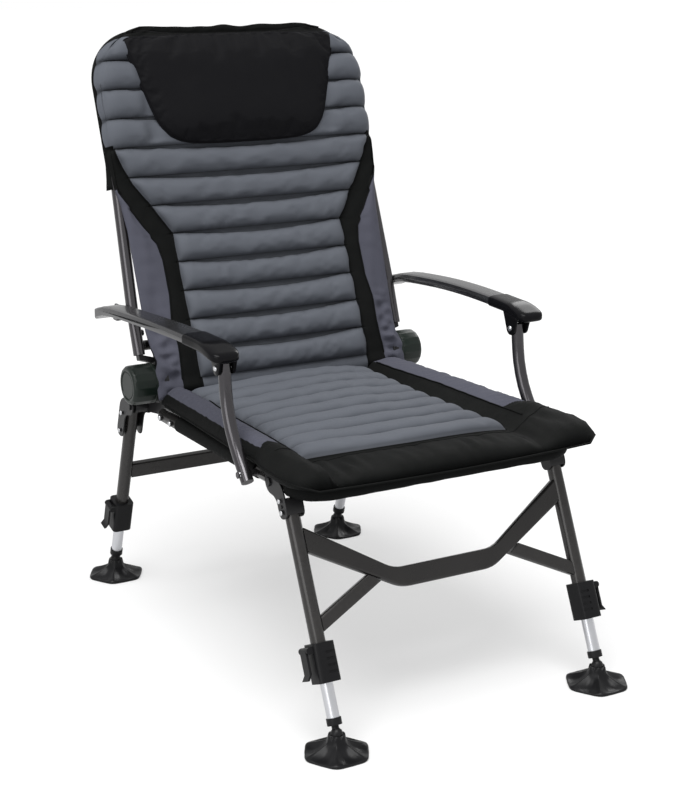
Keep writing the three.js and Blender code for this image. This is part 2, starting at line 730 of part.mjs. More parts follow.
// Lower cross tube of the back, behind the mattress, with a lug at each end that meets the side tube
function lowerBackTube() {
  const half = BACK_HALF_WIDTH - backTubeRadius - CLEARANCE;
  const [behind, along] = [LOWER_TUBE_BEHIND, LOWER_TUBE_ALONG];
  const radius = LOWER_TUBE_DIAMETER / 2;
  const ears = [-1, 1].map((side) => {
    const [low, high] = [side * (half - CLEARANCE), side * (half + LUG_THICKNESS)];
    const lug = sidePlate(linkShape(0, along, radius, behind, along, radius),
      Math.min(low, high), Math.max(low, high));
    return cut(lug, barZ(boreOver(BACK_TUBE_DIAMETER), 0, TONGUE_TOP, side * BACK_HALF_WIDTH, 0),
      box(-2 * half, 2 * half, -BACK_TUBE_DIAMETER, PLATE_BOLT_DIAMETER + CLEARANCE, 0, TONGUE_TOP));
  });
  const reach = half + LUG_THICKNESS + OVERRUN;
  return cut(
    join(pinX(LOWER_TUBE_DIAMETER, -half, half, behind, along, ROUND_SIDES), ...ears),
    pinX(LOWER_TUBE_DIAMETER - 2 * TUBE_WALL, -reach, reach, behind, along),
  );
}

// The armrest pivot, seen from the recline axis in the back frame's own directions
function inBackFrame(y, z) {
  return new THREE.Vector3(0, y - RECLINE_Y, z - RECLINE_Z).applyAxisAngle(
    new THREE.Vector3(1, 0, 0),
    degrees(RECLINE_ANGLE),
  );
}

// Lug welded behind the back tube, with the pin that runs in the armrest's slotted ear
function armLug() {
  const pivot = inBackFrame(ARM_REAR_PIVOT_Y, ARM_REAR_PIVOT_Z);
  const lowX = BACK_HALF_WIDTH + backTubeRadius / 2 - LUG_THICKNESS / 2;
  const plate = cut(
    sidePlate(linkShape(0, pivot.z, LUG_RADIUS, pivot.y, pivot.z, LUG_RADIUS),
      lowX, lowX + LUG_THICKNESS),
    barZ(boreOver(BACK_TUBE_DIAMETER), pivot.z - TUBE_DIAMETER, pivot.z + TUBE_DIAMETER,
      BACK_HALF_WIDTH, 0),
    box(0, BACK_HALF_WIDTH + TUBE_DIAMETER, -TUBE_DIAMETER, 0,
      pivot.z - TUBE_DIAMETER, pivot.z + TUBE_DIAMETER),
  );
  return join(
    plate,
    pinX(LINK_PIN_DIAMETER, lowX + CLEARANCE, armEarLowX() + EAR_THICKNESS, pivot.y, pivot.z),
  );
}
const armEarLowX = () => ARM_REAR_CENTRE_X - ARM_WIDTH / 2 - EAR_THICKNESS;

// Armrest: an arched flat-oval bar that splays outwards to the rear
const armAxisZ = (y) =>
  ARM_CREST_Z -
  ARM_REAR_DROP * ((y - ARM_CREST_Y) / (ARM_REAR_Y - ARM_CREST_Y)) ** 2 -
  ARM_TIP_DROP * (Math.max(y - ARM_REAR_Y + ARM_TIP_LENGTH, 0) / ARM_TIP_LENGTH) ** 2 -
  ARM_NOSE_DROP * smooth(ARM_NOSE_Y + ARM_NOSE_LENGTH - y, 0, ARM_NOSE_LENGTH);
const armCentreX = (y) =>
  mix(ARM_FRONT_CENTRE_X, ARM_REAR_CENTRE_X, smooth(y, ARM_NOSE_Y, ARM_NOSE_Y + ARM_SPLAY_LENGTH));

function armRibbon(yFront, yRear, thickness, width, rounding) {
  const half = thickness / 2;
  const stations = [yFront];
  for (let y = ARM_NOSE_Y; y < yRear - ARM_ROUNDING; y += ARM_STEP)
    if (y > yFront + ARM_ROUNDING) stations.push(y);
  stations.push(yRear);
  const slope = (y) => (armAxisZ(y + RUNNING_GAP) - armAxisZ(y - RUNNING_GAP)) / (2 * RUNNING_GAP);
  const point = (y, side) => {
    const lean = Math.atan(slope(y));
    return [y - side * half * Math.sin(lean), armAxisZ(y) + side * half * Math.cos(lean)];
  };
  const corners = [
    ...stations.map((y) => point(y, -1)),
    ...stations.reverse().map((y) => point(y, 1)),
  ];
  const shape = new THREE.Shape(corners.map(([y, z]) => new THREE.Vector2(y, z)));
  const bar = sidePlate(shape, -width / 2, width / 2, rounding);
  const position = bar.getAttribute("position");
  for (let i = 0; i < position.count; i++)
    position.setX(i, position.getX(i) + armCentreX(position.getY(i)));
  return bar;
}

// What is trimmed off the bar's rear end to round it in plan
function armTipCorners() {
  const radius = ARM_WIDTH / 2;
  const centreY = ARM_REAR_Y - radius;
  const [low, high] = [armAxisZ(ARM_REAR_Y) - ARM_WIDTH, armAxisZ(ARM_REAR_Y) + ARM_WIDTH];
  return cut(
    box(ARM_REAR_CENTRE_X - ARM_WIDTH, ARM_REAR_CENTRE_X + ARM_WIDTH, centreY, ARM_REAR_Y + OVERRUN,
      low, high),
    barZ(ARM_WIDTH, low - OVERRUN, high + OVERRUN, ARM_REAR_CENTRE_X, centreY, 2 * ROUND_SIDES),
  );
}

function armrestBar() {
  const front = CAP_REAR_Y - CAP_BAR_INSERT;
  const hollow = armRibbon(front - OVERRUN, ARM_REAR_Y - OVERRUN, ARM_THICKNESS - 2 * ARM_WALL,
    ARM_WIDTH - 2 * ARM_WALL, ARM_ROUNDING - ARM_WALL);
  const shell = cut(
    armRibbon(front, ARM_REAR_Y, ARM_THICKNESS, ARM_WIDTH, ARM_ROUNDING),
    hollow,
    armTipCorners(),
  );
  const half = SLOT_WIDTH / 2 + EAR_MARGIN;
  const reach = SLOT_HEIGHT / 2 + EAR_MARGIN;
  const [y, z] = [ARM_REAR_PIVOT_Y, ARM_REAR_PIVOT_Z];
  const lowX = armEarLowX();
  const ear = cut(
    sidePlate(
      roundedShape([[y - half, z - reach], [y + half, z - reach], [y + half, z + reach],
        [y - half, z + reach]], EAR_MARGIN),
      lowX, lowX + EAR_THICKNESS + 2 * ARM_WALL),
    box(lowX + EAR_THICKNESS + CLEARANCE, lowX + 2 * ARM_WIDTH, y - 2 * half, y + 2 * half,
      armAxisZ(y), z + 2 * reach),
    hollow,
  );
  const slotEnd = (SLOT_HEIGHT - SLOT_WIDTH) / 2;
  return cut(
    join(shell, ear),
    sidePlate(linkShape(y, z - slotEnd, SLOT_WIDTH / 2, y, z + slotEnd, SLOT_WIDTH / 2),
      lowX - OVERRUN, lowX + EAR_THICKNESS + CLEARANCE),
  );
}

// Front cap: a plastic sleeve over the bar's end, with the clevis and pin that hold the upright
function armrestCap() {
  const pivotY = ARM_FRONT_PIVOT_Y;
  const pivotZ = ARM_FRONT_PIVOT_Z;
  const gap = UPRIGHT_DIAMETER / 2 + RUNNING_GAP;
  const thickness = ARM_THICKNESS + 2 * CAP_WALL;
  const underside = armAxisZ(pivotY) - thickness / 2;
  const sleeve = armRibbon(ARM_NOSE_Y, CAP_REAR_Y, thickness, ARM_WIDTH + 2 * CAP_WALL,
    ARM_ROUNDING + CAP_WALL);
  const cheek = (side) => {
    const inner = UPRIGHT_HALF_WIDTH + side * gap;
    const outer = inner + side * CLEVIS_CHEEK;
    const shape = roundedShape(
      [
        [pivotY - CLEVIS_LENGTH / 2, underside + OVERRUN],
        [pivotY - CLEVIS_RADIUS, pivotZ - CLEVIS_RADIUS],
        [pivotY + CLEVIS_RADIUS, pivotZ - CLEVIS_RADIUS],
        [pivotY + CLEVIS_LENGTH / 2, underside + OVERRUN],
      ],
      CLEVIS_RADIUS / 2,
    );
    return sidePlate(shape, Math.min(inner, outer), Math.max(inner, outer));
  };
  const reach = gap + CLEVIS_CHEEK;
  const pin = join(
    pinX(LINK_PIN_DIAMETER, UPRIGHT_HALF_WIDTH - reach, UPRIGHT_HALF_WIDTH + reach, pivotY, pivotZ),
    pinX(2 * LINK_PIN_DIAMETER, UPRIGHT_HALF_WIDTH + reach - CLEARANCE,
      UPRIGHT_HALF_WIDTH + reach + BOLT_HEAD_HEIGHT, pivotY, pivotZ, HEX_SIDES),
  );
  const socket = armRibbon(CAP_REAR_Y - CAP_BAR_INSERT - CLEARANCE, CAP_REAR_Y + ARM_STEP,
    ARM_THICKNESS + 2 * CLEARANCE, ARM_WIDTH + 2 * CLEARANCE, ARM_ROUNDING);
  return join(cut(join(sleeve, cheek(-1), cheek(1)), socket), pin);
}

// Upright: a bowed tube from its bolt on the seat rail up into the armrest's clevis
function uprightPath(startStub, endStub) {
  const foot = new THREE.Vector3(UPRIGHT_HALF_WIDTH, UPRIGHT_PIVOT_Y, UPRIGHT_PIVOT_Z);
  const head = new THREE.Vector3(UPRIGHT_HALF_WIDTH, ARM_FRONT_PIVOT_Y, ARM_FRONT_PIVOT_Z);
  const chord = head.clone().sub(foot);
  const along = chord.clone().normalize();
  const rearward = new THREE.Vector3(0, along.z, -along.y);
  const bowed = UPRIGHT_ROUTE_SHARES.map((share) =>
    foot.clone()
      .addScaledVector(chord, share)
      .addScaledVector(rearward, UPRIGHT_BOW * Math.sin(Math.PI * share)),
  );
  const first = bowed[0].clone().sub(bowed[1]).normalize();
  const last = bowed.at(-1).clone().sub(bowed.at(-2)).normalize();
  const points = [
    bowed[0].clone().addScaledVector(first, startStub),
    ...bowed,
    bowed.at(-1).clone().addScaledVector(last, endStub),
  ];
  const curve = new THREE.CatmullRomCurve3(points);
  curve.stations = UPRIGHT_STATIONS;
  return curve;
}

function upright() {
  const bore = UPRIGHT_DIAMETER - 2 * TUBE_WALL;
  const tube = sweep(uprightPath(UPRIGHT_FOOT_STUB, UPRIGHT_TOP_STUB), UPRIGHT_DIAMETER);
  const hollow = sweep(
    uprightPath(UPRIGHT_FOOT_STUB - UPRIGHT_PLUG, UPRIGHT_TOP_STUB + OVERRUN), bore, 0, SMALL_SIDES);
  const innerX = railOuterX + RUNNING_GAP;
  const outerX = UPRIGHT_HALF_WIDTH + UPRIGHT_DIAMETER / 2;
  const [y, z] = [UPRIGHT_PIVOT_Y, UPRIGHT_PIVOT_Z];
  return join(
    cut(
      tube,
      hollow,
      pinX(LINK_PIN_DIAMETER + 2 * CLEARANCE, UPRIGHT_HALF_WIDTH - UPRIGHT_DIAMETER,
        UPRIGHT_HALF_WIDTH + UPRIGHT_DIAMETER, ARM_FRONT_PIVOT_Y, ARM_FRONT_PIVOT_Z),
    ),
    pinX(2 * LINK_PIN_DIAMETER, innerX, UPRIGHT_HALF_WIDTH - bore / 2, y, z),
    pinX(LINK_PIN_DIAMETER, FRAME_HALF_WIDTH - tubeRadius, outerX + BOLT_HEAD_HEIGHT, y, z),
    pinX(2 * LINK_PIN_DIAMETER, outerX - TUBE_WALL, outerX + BOLT_HEAD_HEIGHT, y, z, HEX_SIDES),
  );
}

// Legs, each frame drawn hanging straight down about its own fold pivot
function legTube(leg) {
  const end = -(leg.clampStart + CLAMP_SOCKET);
  const x = FRAME_HALF_WIDTH;
  return cut(
    barZ(TUBE_DIAMETER, end, -leg.tubeStart, x, leg.legY),
    barZ(tubeBore, end - OVERRUN, -leg.tubeStart + OVERRUN, x, leg.legY),
  );
}

// Bracket: two cheeks on the fold pin, joined by a web that wraps the outside of the leg
function legBracket(leg) {
  const side = leg.sign;
  const inner = tubeRadius + leg.sideGap;
  const outer = inner + BRACKET_WALL;
  const x = FRAME_HALF_WIDTH;
  const face = leg.legY + side * (tubeRadius + RUNNING_GAP);
  const skin = face + side * BRACKET_WALL;
  const nearLeg = leg.legY - side * tubeRadius;
  const cheeks = sidePlate(
    roundedShape(
      [
        [-side * PIVOT_RADIUS, PIVOT_RADIUS],
        [side * PIVOT_RADIUS, PIVOT_RADIUS],
        [skin, -leg.tubeStart / 2],
        [skin, -leg.bracketEnd],
        [nearLeg, -leg.bracketEnd],
        [nearLeg, -2 * PIVOT_RADIUS],
        [-side * PIVOT_RADIUS, -PIVOT_RADIUS],
      ],
      PIVOT_RADIUS,
    ),
    x - outer,
    x + outer,
  );
  const channel = box(
    x - inner,
    x + inner,
    Math.min(face, -side * 2 * PIVOT_RADIUS),
    Math.max(face, -side * 2 * PIVOT_RADIUS),
    -leg.bracketEnd - OVERRUN,
    PIVOT_RADIUS + OVERRUN,
  );
  const window = box(
    x - inner,
    x + inner,
    Math.min(face, skin) - OVERRUN,
    Math.max(face, skin) + OVERRUN,
    -leg.webStart,
    PIVOT_RADIUS + OVERRUN,
  );
  const rivets = [leg.tubeStart + TUBE_DIAMETER / 2, leg.bracketEnd - TUBE_DIAMETER / 2].map((down) =>
    pinX(PLATE_BOLT_DIAMETER, x + inner - CLEARANCE, x + outer + BOLT_HEAD_HEIGHT / 2,
      leg.legY, -down));
  return join(
    cut(cheeks, channel, window),
    pinX(LEG_PIN_DIAMETER, x - outer, x + outer, 0, 0),
    pinX(2 * LEG_PIN_DIAMETER, x + outer - CLEARANCE, x + outer + BOLT_HEAD_HEIGHT, 0, 0, HEX_SIDES),
    ...rivets,
  );
}

// The face of a leg tube at a given x, so that a brace can stop just short of it
function leaveLegs(body, leg) {
  const bore = boreOver(TUBE_DIAMETER);
  return cut(
    body,
    ...[-1, 1].map((side) =>
      barZ(bore, -2 * leg.ball, 0, side * FRAME_HALF_WIDTH, leg.legY),
    ),
    ...[-1, 1].map((side) =>
      box(
        Math.min(side * FRAME_HALF_WIDTH, 2 * side * FRAME_HALF_WIDTH),
        Math.max(side * FRAME_HALF_WIDTH, 2 * side * FRAME_HALF_WIDTH),
        -2 * FRAME_HALF_WIDTH,
        2 * FRAME_HALF_WIDTH,
        -2 * leg.ball,
        0,
      ),
    ),
  );
}

// Front cross tube: a flat-oval tube bent from the leg tops down to a level bar and up again
function frontCrossTube() {
  const x = FRAME_HALF_WIDTH;
  const slope = (CROSS_BAR_TOP - CROSS_LEG_TOP) / (x - CROSS_HALF_WIDTH);
  const under = CROSS_DEPTH * Math.tan(Math.atan(slope) / 2);
  const corners = [
    [x, -CROSS_LEG_TOP],
    [x, -CROSS_LEG_TOP - CROSS_LEG_DEPTH],
    [CROSS_HALF_WIDTH - under, -CROSS_BAR_TOP - CROSS_DEPTH],
  ];
  const mirrored = corners.map(([cx, cz]) => [-cx, cz]).reverse();
  const shape = roundedShape(
    [...corners, ...mirrored, [-CROSS_HALF_WIDTH, -CROSS_BAR_TOP], [CROSS_HALF_WIDTH, -CROSS_BAR_TOP]],
    CROSS_DEPTH / 2,
  );
  return leaveLegs(facePlate(shape, FRONT.legY, BRACE_THICKNESS, BRACE_ROUNDING), FRONT);
}

// Lower brace: from the cross tube's bend out to the leg above its clamp
function frontBrace() {
  const x = FRAME_HALF_WIDTH;
  const lean = Math.atan2(BRACE_LEG_TOP - FORK_TOP, x - FORK_HALF_WIDTH);
  const drop = BRACE_DEPTH / Math.cos(lean);
  const inner = FORK_HALF_WIDTH - 2 * BRACE_DEPTH;
  const shape = new THREE.Shape();
  shape.moveTo(inner, -FORK_TOP + (FORK_HALF_WIDTH - inner) * Math.tan(lean));
  shape.lineTo(inner, -FORK_TOP + (FORK_HALF_WIDTH - inner) * Math.tan(lean) - drop);
  shape.lineTo(x, -BRACE_LEG_TOP - drop);
  shape.lineTo(x, -BRACE_LEG_TOP);
  shape.closePath();
  const slope = (CROSS_BAR_TOP - CROSS_LEG_TOP) / (x - CROSS_HALF_WIDTH);
  const edge = (cx) => -CROSS_BAR_TOP - CROSS_DEPTH - CLEARANCE + slope * (cx - CROSS_HALF_WIDTH);
  const keepBelow = new THREE.Shape();
  keepBelow.moveTo(0, -CROSS_BAR_TOP - CROSS_DEPTH - CLEARANCE);
  keepBelow.lineTo(0, 0);
  keepBelow.lineTo(x + OVERRUN, 0);
  keepBelow.lineTo(x + OVERRUN, edge(x + OVERRUN));
  keepBelow.lineTo(CROSS_HALF_WIDTH, edge(CROSS_HALF_WIDTH));
  keepBelow.closePath();
  const body = cut(
    facePlate(shape, FRONT.legY, BRACE_THICKNESS, BRACE_ROUNDING),
    facePlate(keepBelow, FRONT.legY, 2 * BRACE_THICKNESS),
  );
  return leaveLegs(body, FRONT);
}

function rearCrossBar() {
  const x = FRAME_HALF_WIDTH;
  const shape = new THREE.Shape();
  shape.moveTo(-x, -REAR_BAR_TOP - REAR_BAR_DEPTH);
  shape.lineTo(x, -REAR_BAR_TOP - REAR_BAR_DEPTH);
  shape.lineTo(x, -REAR_BAR_TOP);
  shape.lineTo(-x, -REAR_BAR_TOP);
  shape.closePath();
  return leaveLegs(facePlate(shape, REAR.legY, BRACE_THICKNESS, BRACE_ROUNDING), REAR);
}

// Clamp: moulded housing on the outer tube's end, with finger ridges and ears for its cam lever
const leverPinX = CLAMP_SIDE + LEVER_KNUCKLE_RADIUS + RUNNING_GAP;
function clampBody(leg) {
  const x = FRAME_HALF_WIDTH;
  const top = -leg.clampStart;
  const end = -leg.clampEnd;
  const front = leg.sign;
  const outline = roundedShape(
    [[-CLAMP_SIDE, -front * CLAMP_REAR], [CLAMP_SIDE, -front * CLAMP_REAR],
      [CLAMP_SIDE, front * CLAMP_FRONT], [-CLAMP_SIDE, front * CLAMP_FRONT]],
    CLAMP_ROUNDING,
  );
  const housing = new THREE.ExtrudeGeometry(outline, {
    depth: CLAMP_HEIGHT, bevelEnabled: false, curveSegments: HOUSING_CORNER_STEPS,
  }).translate(x, leg.legY, end);
  const pinZ = top - LEVER_PIN_DROP;
  const ears = [-1, 1].map((side) => {
    const y = leg.legY + side * (LEVER_WIDTH / 2 + RUNNING_GAP + LEVER_THICKNESS / 2);
    return facePlate(
      linkShape(x + CLAMP_SIDE - LEVER_KNUCKLE_RADIUS, pinZ, LEVER_KNUCKLE_RADIUS,
        x + leverPinX, pinZ, LEVER_KNUCKLE_RADIUS),
      y, LEVER_THICKNESS);
  });
  const pinReach = LEVER_WIDTH / 2 + RUNNING_GAP + LEVER_THICKNESS;
  const pin = barY(LEVER_PIN_DIAMETER, leg.legY - pinReach, leg.legY + pinReach, x + leverPinX, pinZ);
  const ridges = [];
  const pitch = CLAMP_HEIGHT / (CLAMP_RIDGES + 2);
  const faceY = leg.legY + front * CLAMP_FRONT;
  for (let k = 0; k < CLAMP_RIDGES; k++) {
    const z = end + pitch * (k + 1 + 1 / 2);
    ridges.push(box(
      x - CLAMP_SIDE - OVERRUN, x - CLAMP_SIDE + CLAMP_RIDGE_LENGTH,
      Math.min(faceY - front * CLAMP_RIDGE_DEPTH, faceY + front * OVERRUN),
      Math.max(faceY - front * CLAMP_RIDGE_DEPTH, faceY + front * OVERRUN),
      z - CLAMP_RIDGE_WIDTH / 2, z + CLAMP_RIDGE_WIDTH / 2));
  }
  return join(
    cut(
      join(housing, ...ears),
      barZ(boreOver(TUBE_DIAMETER), top - CLAMP_SOCKET, top + OVERRUN, x, leg.legY),
      barZ(boreOver(INNER_LEG_DIAMETER), end - OVERRUN, top, x, leg.legY),
      ...ridges,
    ),
    pin,
  );
}

// Cam lever: a knuckle on the clamp's pin and an arm that lies down the housing and flares at its tip
function clampLever(leg) {
  const x = FRAME_HALF_WIDTH + leverPinX;
  const z = -leg.clampStart - LEVER_PIN_DROP;
  const outer = x + LEVER_KNUCKLE_RADIUS;
  const inner = outer - LEVER_THICKNESS;
  const arm = new THREE.Shape();
  arm.moveTo(inner, z);
  arm.lineTo(outer, z);
  arm.lineTo(outer, z - LEVER_LENGTH + LEVER_TIP_LENGTH);
  arm.lineTo(outer + LEVER_TIP_FLARE, z - LEVER_LENGTH);
  arm.lineTo(outer + LEVER_TIP_FLARE - LEVER_THICKNESS, z - LEVER_LENGTH);
  arm.lineTo(inner, z - LEVER_LENGTH + LEVER_TIP_LENGTH);
  arm.closePath();
  return cut(
    join(
      facePlate(arm, leg.legY, LEVER_WIDTH),
      barY(2 * LEVER_KNUCKLE_RADIUS, leg.legY - LEVER_WIDTH / 2, leg.legY + LEVER_WIDTH / 2, x, z),
    ),
    barY(LEVER_PIN_DIAMETER + 2 * CLEARANCE, leg.legY - LEVER_WIDTH, leg.legY + LEVER_WIDTH, x, z),
  );
}

// Inner leg: aluminium tube seated in the ankle's collar
function innerLeg(leg) {
  const end = -(leg.ball - COLLAR_CLEAR_OF_BALL - COLLAR_SEAT);
  const top = -(leg.clampEnd - INNER_LEG_INSERTED);
  const bore = INNER_LEG_DIAMETER - 2 * TUBE_WALL;
  return cut(
    barZ(INNER_LEG_DIAMETER, end, top, FRAME_HALF_WIDTH, leg.legY),
    barZ(bore, end - OVERRUN, top + OVERRUN, FRAME_HALF_WIDTH, leg.legY),
  );
}

// Ankle: collar, neck and ball in one moulding, turned about the leg's own axis
function ankle(leg) {
  const ballRadius = BALL_DIAMETER / 2;
  const neck = NECK_DIAMETER / 2;
  const start = Math.asin(neck / ballRadius);
  const profile = [];
  for (let k = 0; k <= BEND_STEPS; k++) {
    const angle = Math.PI - ((Math.PI - start) * k) / BEND_STEPS;
    profile.push([ballRadius * Math.sin(angle), ballRadius * Math.cos(angle)]);
  }
  profile[0][0] = 0;
  const collarLow = COLLAR_CLEAR_OF_BALL;
  const collarHigh = collarLow + COLLAR_HEIGHT;
  const seat = collarLow + COLLAR_SEAT - CLEARANCE;
  const seatRadius = INNER_LEG_DIAMETER / 2 + CLEARANCE;
  profile.push(
    [neck, collarLow],
    [COLLAR_DIAMETER / 2, collarLow],
    [COLLAR_DIAMETER / 2, collarHigh],
    [seatRadius, collarHigh],
    [seatRadius, seat],
    [0, seat],
  );
  return new THREE.LatheGeometry(profile.map(([r, z]) => new THREE.Vector2(r, z)), ROUND_SIDES)
    .rotateX(Math.PI / 2)
    .translate(FRAME_HALF_WIDTH, leg.legY, -leg.ball);
}

// Mud foot: a lobed dish round a cup that holds the ball, with a flat sole
function mudFoot() {
  const cup = boreOver(BALL_DIAMETER, FOOT_CUP_SIDES) / 2;
  const profile = [[0, -cup]];
  for (let k = 1; k <= FOOT_CUP_STEPS; k++) {
    const angle = (Math.PI / 2) * (k / FOOT_CUP_STEPS);
    profile.push([cup * Math.sin(angle), -cup * Math.cos(angle)]);
  }
  profile.push(
    [cup, FOOT_SOCKET_LIFT],
    [FOOT_HUB_RADIUS, FOOT_SOCKET_LIFT],
    [FOOT_HUB_RADIUS + FOOT_CUP_DEPTH, FOOT_SHOULDER_HEIGHT - BALL_HEIGHT],
    [FOOT_SHOULDER_RADIUS, FOOT_SHOULDER_HEIGHT - BALL_HEIGHT],
    [(FOOT_SHOULDER_RADIUS + FOOT_RADIUS) / 2,
      (FOOT_SHOULDER_HEIGHT + FOOT_RIM_HEIGHT) / 2 + FOOT_CUP_DEPTH / 2 - BALL_HEIGHT],
    [FOOT_RADIUS, FOOT_RIM_HEIGHT - BALL_HEIGHT],
    [FOOT_RADIUS - FOOT_RIM_HEIGHT, -BALL_HEIGHT],
    [0, -BALL_HEIGHT],
  );
  const foot = new THREE.LatheGeometry(
    profile.reverse().map(([r, z]) => new THREE.Vector2(r, z)), FOOT_SIDES,
  ).rotateX(Math.PI / 2);
  const position = foot.getAttribute("position");
  for (let i = 0; i < position.count; i++) {
    const [x, y, z] = [position.getX(i), position.getY(i), position.getZ(i)];
    const radius = Math.hypot(x, y);
    const outward = smooth(radius, FOOT_HUB_RADIUS, FOOT_RADIUS);
    const wave = (1 - Math.cos(FOOT_LOBES * Math.atan2(y, x))) / 2;
    const pull = radius > 0 ? 1 - (outward * FOOT_LOBE_DEPTH * wave) / radius : 1;
    const aboveSole = smooth(z, -BALL_HEIGHT, FOOT_RIM_HEIGHT - BALL_HEIGHT);
    const sunk = FOOT_CUP_DEPTH * wave * aboveSole * smooth(radius, FOOT_HUB_RADIUS, FOOT_SHOULDER_RADIUS) *
      (1 - smooth(radius, FOOT_SHOULDER_RADIUS, FOOT_RADIUS));
    position.setXYZ(i, x * pull, y * pull, z - sunk);
  }
  return foot;
}

// Sling: the sheet under the seat cushion, sleeved round the side rails and the front bar
function seatSling() {
  const sleeve = TUBE_DIAMETER + 2 * CLEARANCE + 2 * FABRIC;
  const top = SEAT_TUBE_HEIGHT + sleeve / 2;
  const edge = FRAME_HALF_WIDTH;
  const bareX = edge - tubeRadius - FRONT.sideGap - BRACKET_WALL - 2 * RUNNING_GAP;
  const sheet = box(-edge, edge, SEAT_FRONT_Y, SLING_REAR_Y, top - FABRIC, top);
  const bare = (xLow, xHigh, zHigh) =>
    box(xLow, xHigh, SLING_BARE_FRONT_Y, SLING_BARE_REAR_Y, SEAT_TUBE_HEIGHT - sleeve, zHigh);
  return cut(
    join(sweep(seatTubePath(SLING_REAR_Y), sleeve), sheet),
    sweep(seatTubePath(SLING_REAR_Y + OVERRUN), boreOver(TUBE_DIAMETER)),
    bare(-2 * edge, 2 * edge, top - FABRIC),
    bare(-2 * edge, -bareX, top + OVERRUN),
    bare(bareX, 2 * edge, top + OVERRUN),
  );
}

// The quilted height at a place: rounded channels that fade out towards the plain borders
function channelHeight(along, start, end, count, across) {
  const share = (along - start) / (end - start);
  if (share <= 0 || share >= 1) return 0;
  const bulge = Math.abs(Math.sin(Math.PI * count * share)) ** (1 / 2) - 1;
  return CHANNEL_DEPTH * bulge * (1 - smooth(across, CHANNEL_HALF_WIDTH, BACK_PAD_HIP_HALF));
}

// The crown of a cushion: full in the middle and drawn in towards its border
const crown = (u, v) =>
  (1 - Math.abs(u) ** CROWN_POWER_ACROSS) * (1 - Math.abs(2 * v - 1) ** CROWN_POWER_ALONG);

function seatPad() {
  const bottom = SEAT_TUBE_HEIGHT + tubeRadius + 2 * CLEARANCE + FABRIC;
  const [rear, middle, front] = SEAT_PAD_WIDTH_SHARES;
  const place = (u, v, side) => {
    const half = v < middle
      ? mix(SEAT_PAD_REAR_HALF, (SEAT_PAD_REAR_HALF + SEAT_PAD_FRONT_HALF) / 2 - SEAT_PAD_EDGE / 2,
        smooth(v, rear, middle))
      : mix((SEAT_PAD_REAR_HALF + SEAT_PAD_FRONT_HALF) / 2 - SEAT_PAD_EDGE / 2, SEAT_PAD_FRONT_HALF,
        smooth(v, middle, front));
    const frontY = SEAT_PAD_FRONT_Y - SEAT_PAD_BOW * (1 - u * u) + 2 * SEAT_PAD_BOW * Math.abs(u) ** PAD_CORNER_POWER;
    const x = -u * half * (1 - (SEAT_PAD_BOW / half) * v ** PAD_FRONT_POWER);
    const y = mix(SEAT_PAD_REAR_Y, frontY, v);
    const full = crown(u, v) ** (1 / 2);
    const quilt = channelHeight(-y, -SEAT_CHANNEL_REAR_Y, -SEAT_CHANNEL_FRONT_Y, SEAT_CHANNELS,
      Math.abs(x));
    const top = SEAT_PAD_EDGE + (SEAT_PAD_CROWN - SEAT_PAD_EDGE) * full + quilt;
    const low = SEAT_PAD_EDGE * (1 - full);
    const height = side > 0 ? top : side < 0 ? low : SEAT_PAD_EDGE;
    const droop = SEAT_PAD_DROOP * smooth(-y, -SEAT_PAD_DROOP_Y, -SEAT_PAD_FRONT_Y);
    return [x, y, bottom + height - droop];
  };
  return cushion(PAD_COLUMNS, SEAT_PAD_ROWS, place);
}

// Half width of the mattress at a height up the back: drawn in beside the discs, between the tubes
// at the waist, and out over the tubes at the shoulders
function backHalfWidth(along) {
  const waist = mix(BACK_PAD_HIP_HALF, BACK_PAD_WAIST_HALF, smooth(along, HIP_END, HIP_END + HIP_BLEND));
  const shoulder = mix(waist, BACK_PAD_SHOULDER_HALF,
    smooth(along, POCKET_START, POCKET_START + POCKET_BLEND));
  const corner = BACK_CORNER_RADIUS;
  const into = THREE.MathUtils.clamp((along - (BACK_PAD_TOP - corner)) / corner, 0, 1);
  return shoulder - corner * (1 - Math.sqrt(1 - into * into * (1 - CLEARANCE / corner)));
}

function backPad() {
  const place = (u, v, side) => {
    const along = mix(BACK_PAD_START, BACK_PAD_TOP, v);
    const x = u * backHalfWidth(along);
    const lift = smooth(along, POCKET_START - POCKET_BLEND, POCKET_START);
    const seat = backTubeRadius + 2 * CLEARANCE + FABRIC;
    const rear = mix(-BACK_PAD_REAR, seat, lift);
    const edge = mix(BACK_PAD_EDGE, seat + FABRIC, lift);
    const full = crown(u, v) ** (1 / 2);
    const quilt = channelHeight(along, BACK_CHANNEL_START, BACK_PAD_TOP, BACK_CHANNELS, Math.abs(x)) *
      (1 - smooth(along, HEADREST_BOTTOM, HEADREST_BOTTOM + HEADREST_EDGE));
    const crest = mix(BACK_PAD_FRONT, BACK_PAD_TOP_FRONT, smooth(along, 0, POCKET_START + POCKET_BLEND));
    const front = edge + (crest - edge) * full + quilt;
    const depth = side > 0 ? front : side < 0 ? mix(edge, rear, full) : edge;
    return [x, -depth, along];
  };
  return cushion(PAD_COLUMNS, BACK_PAD_ROWS, place);
}

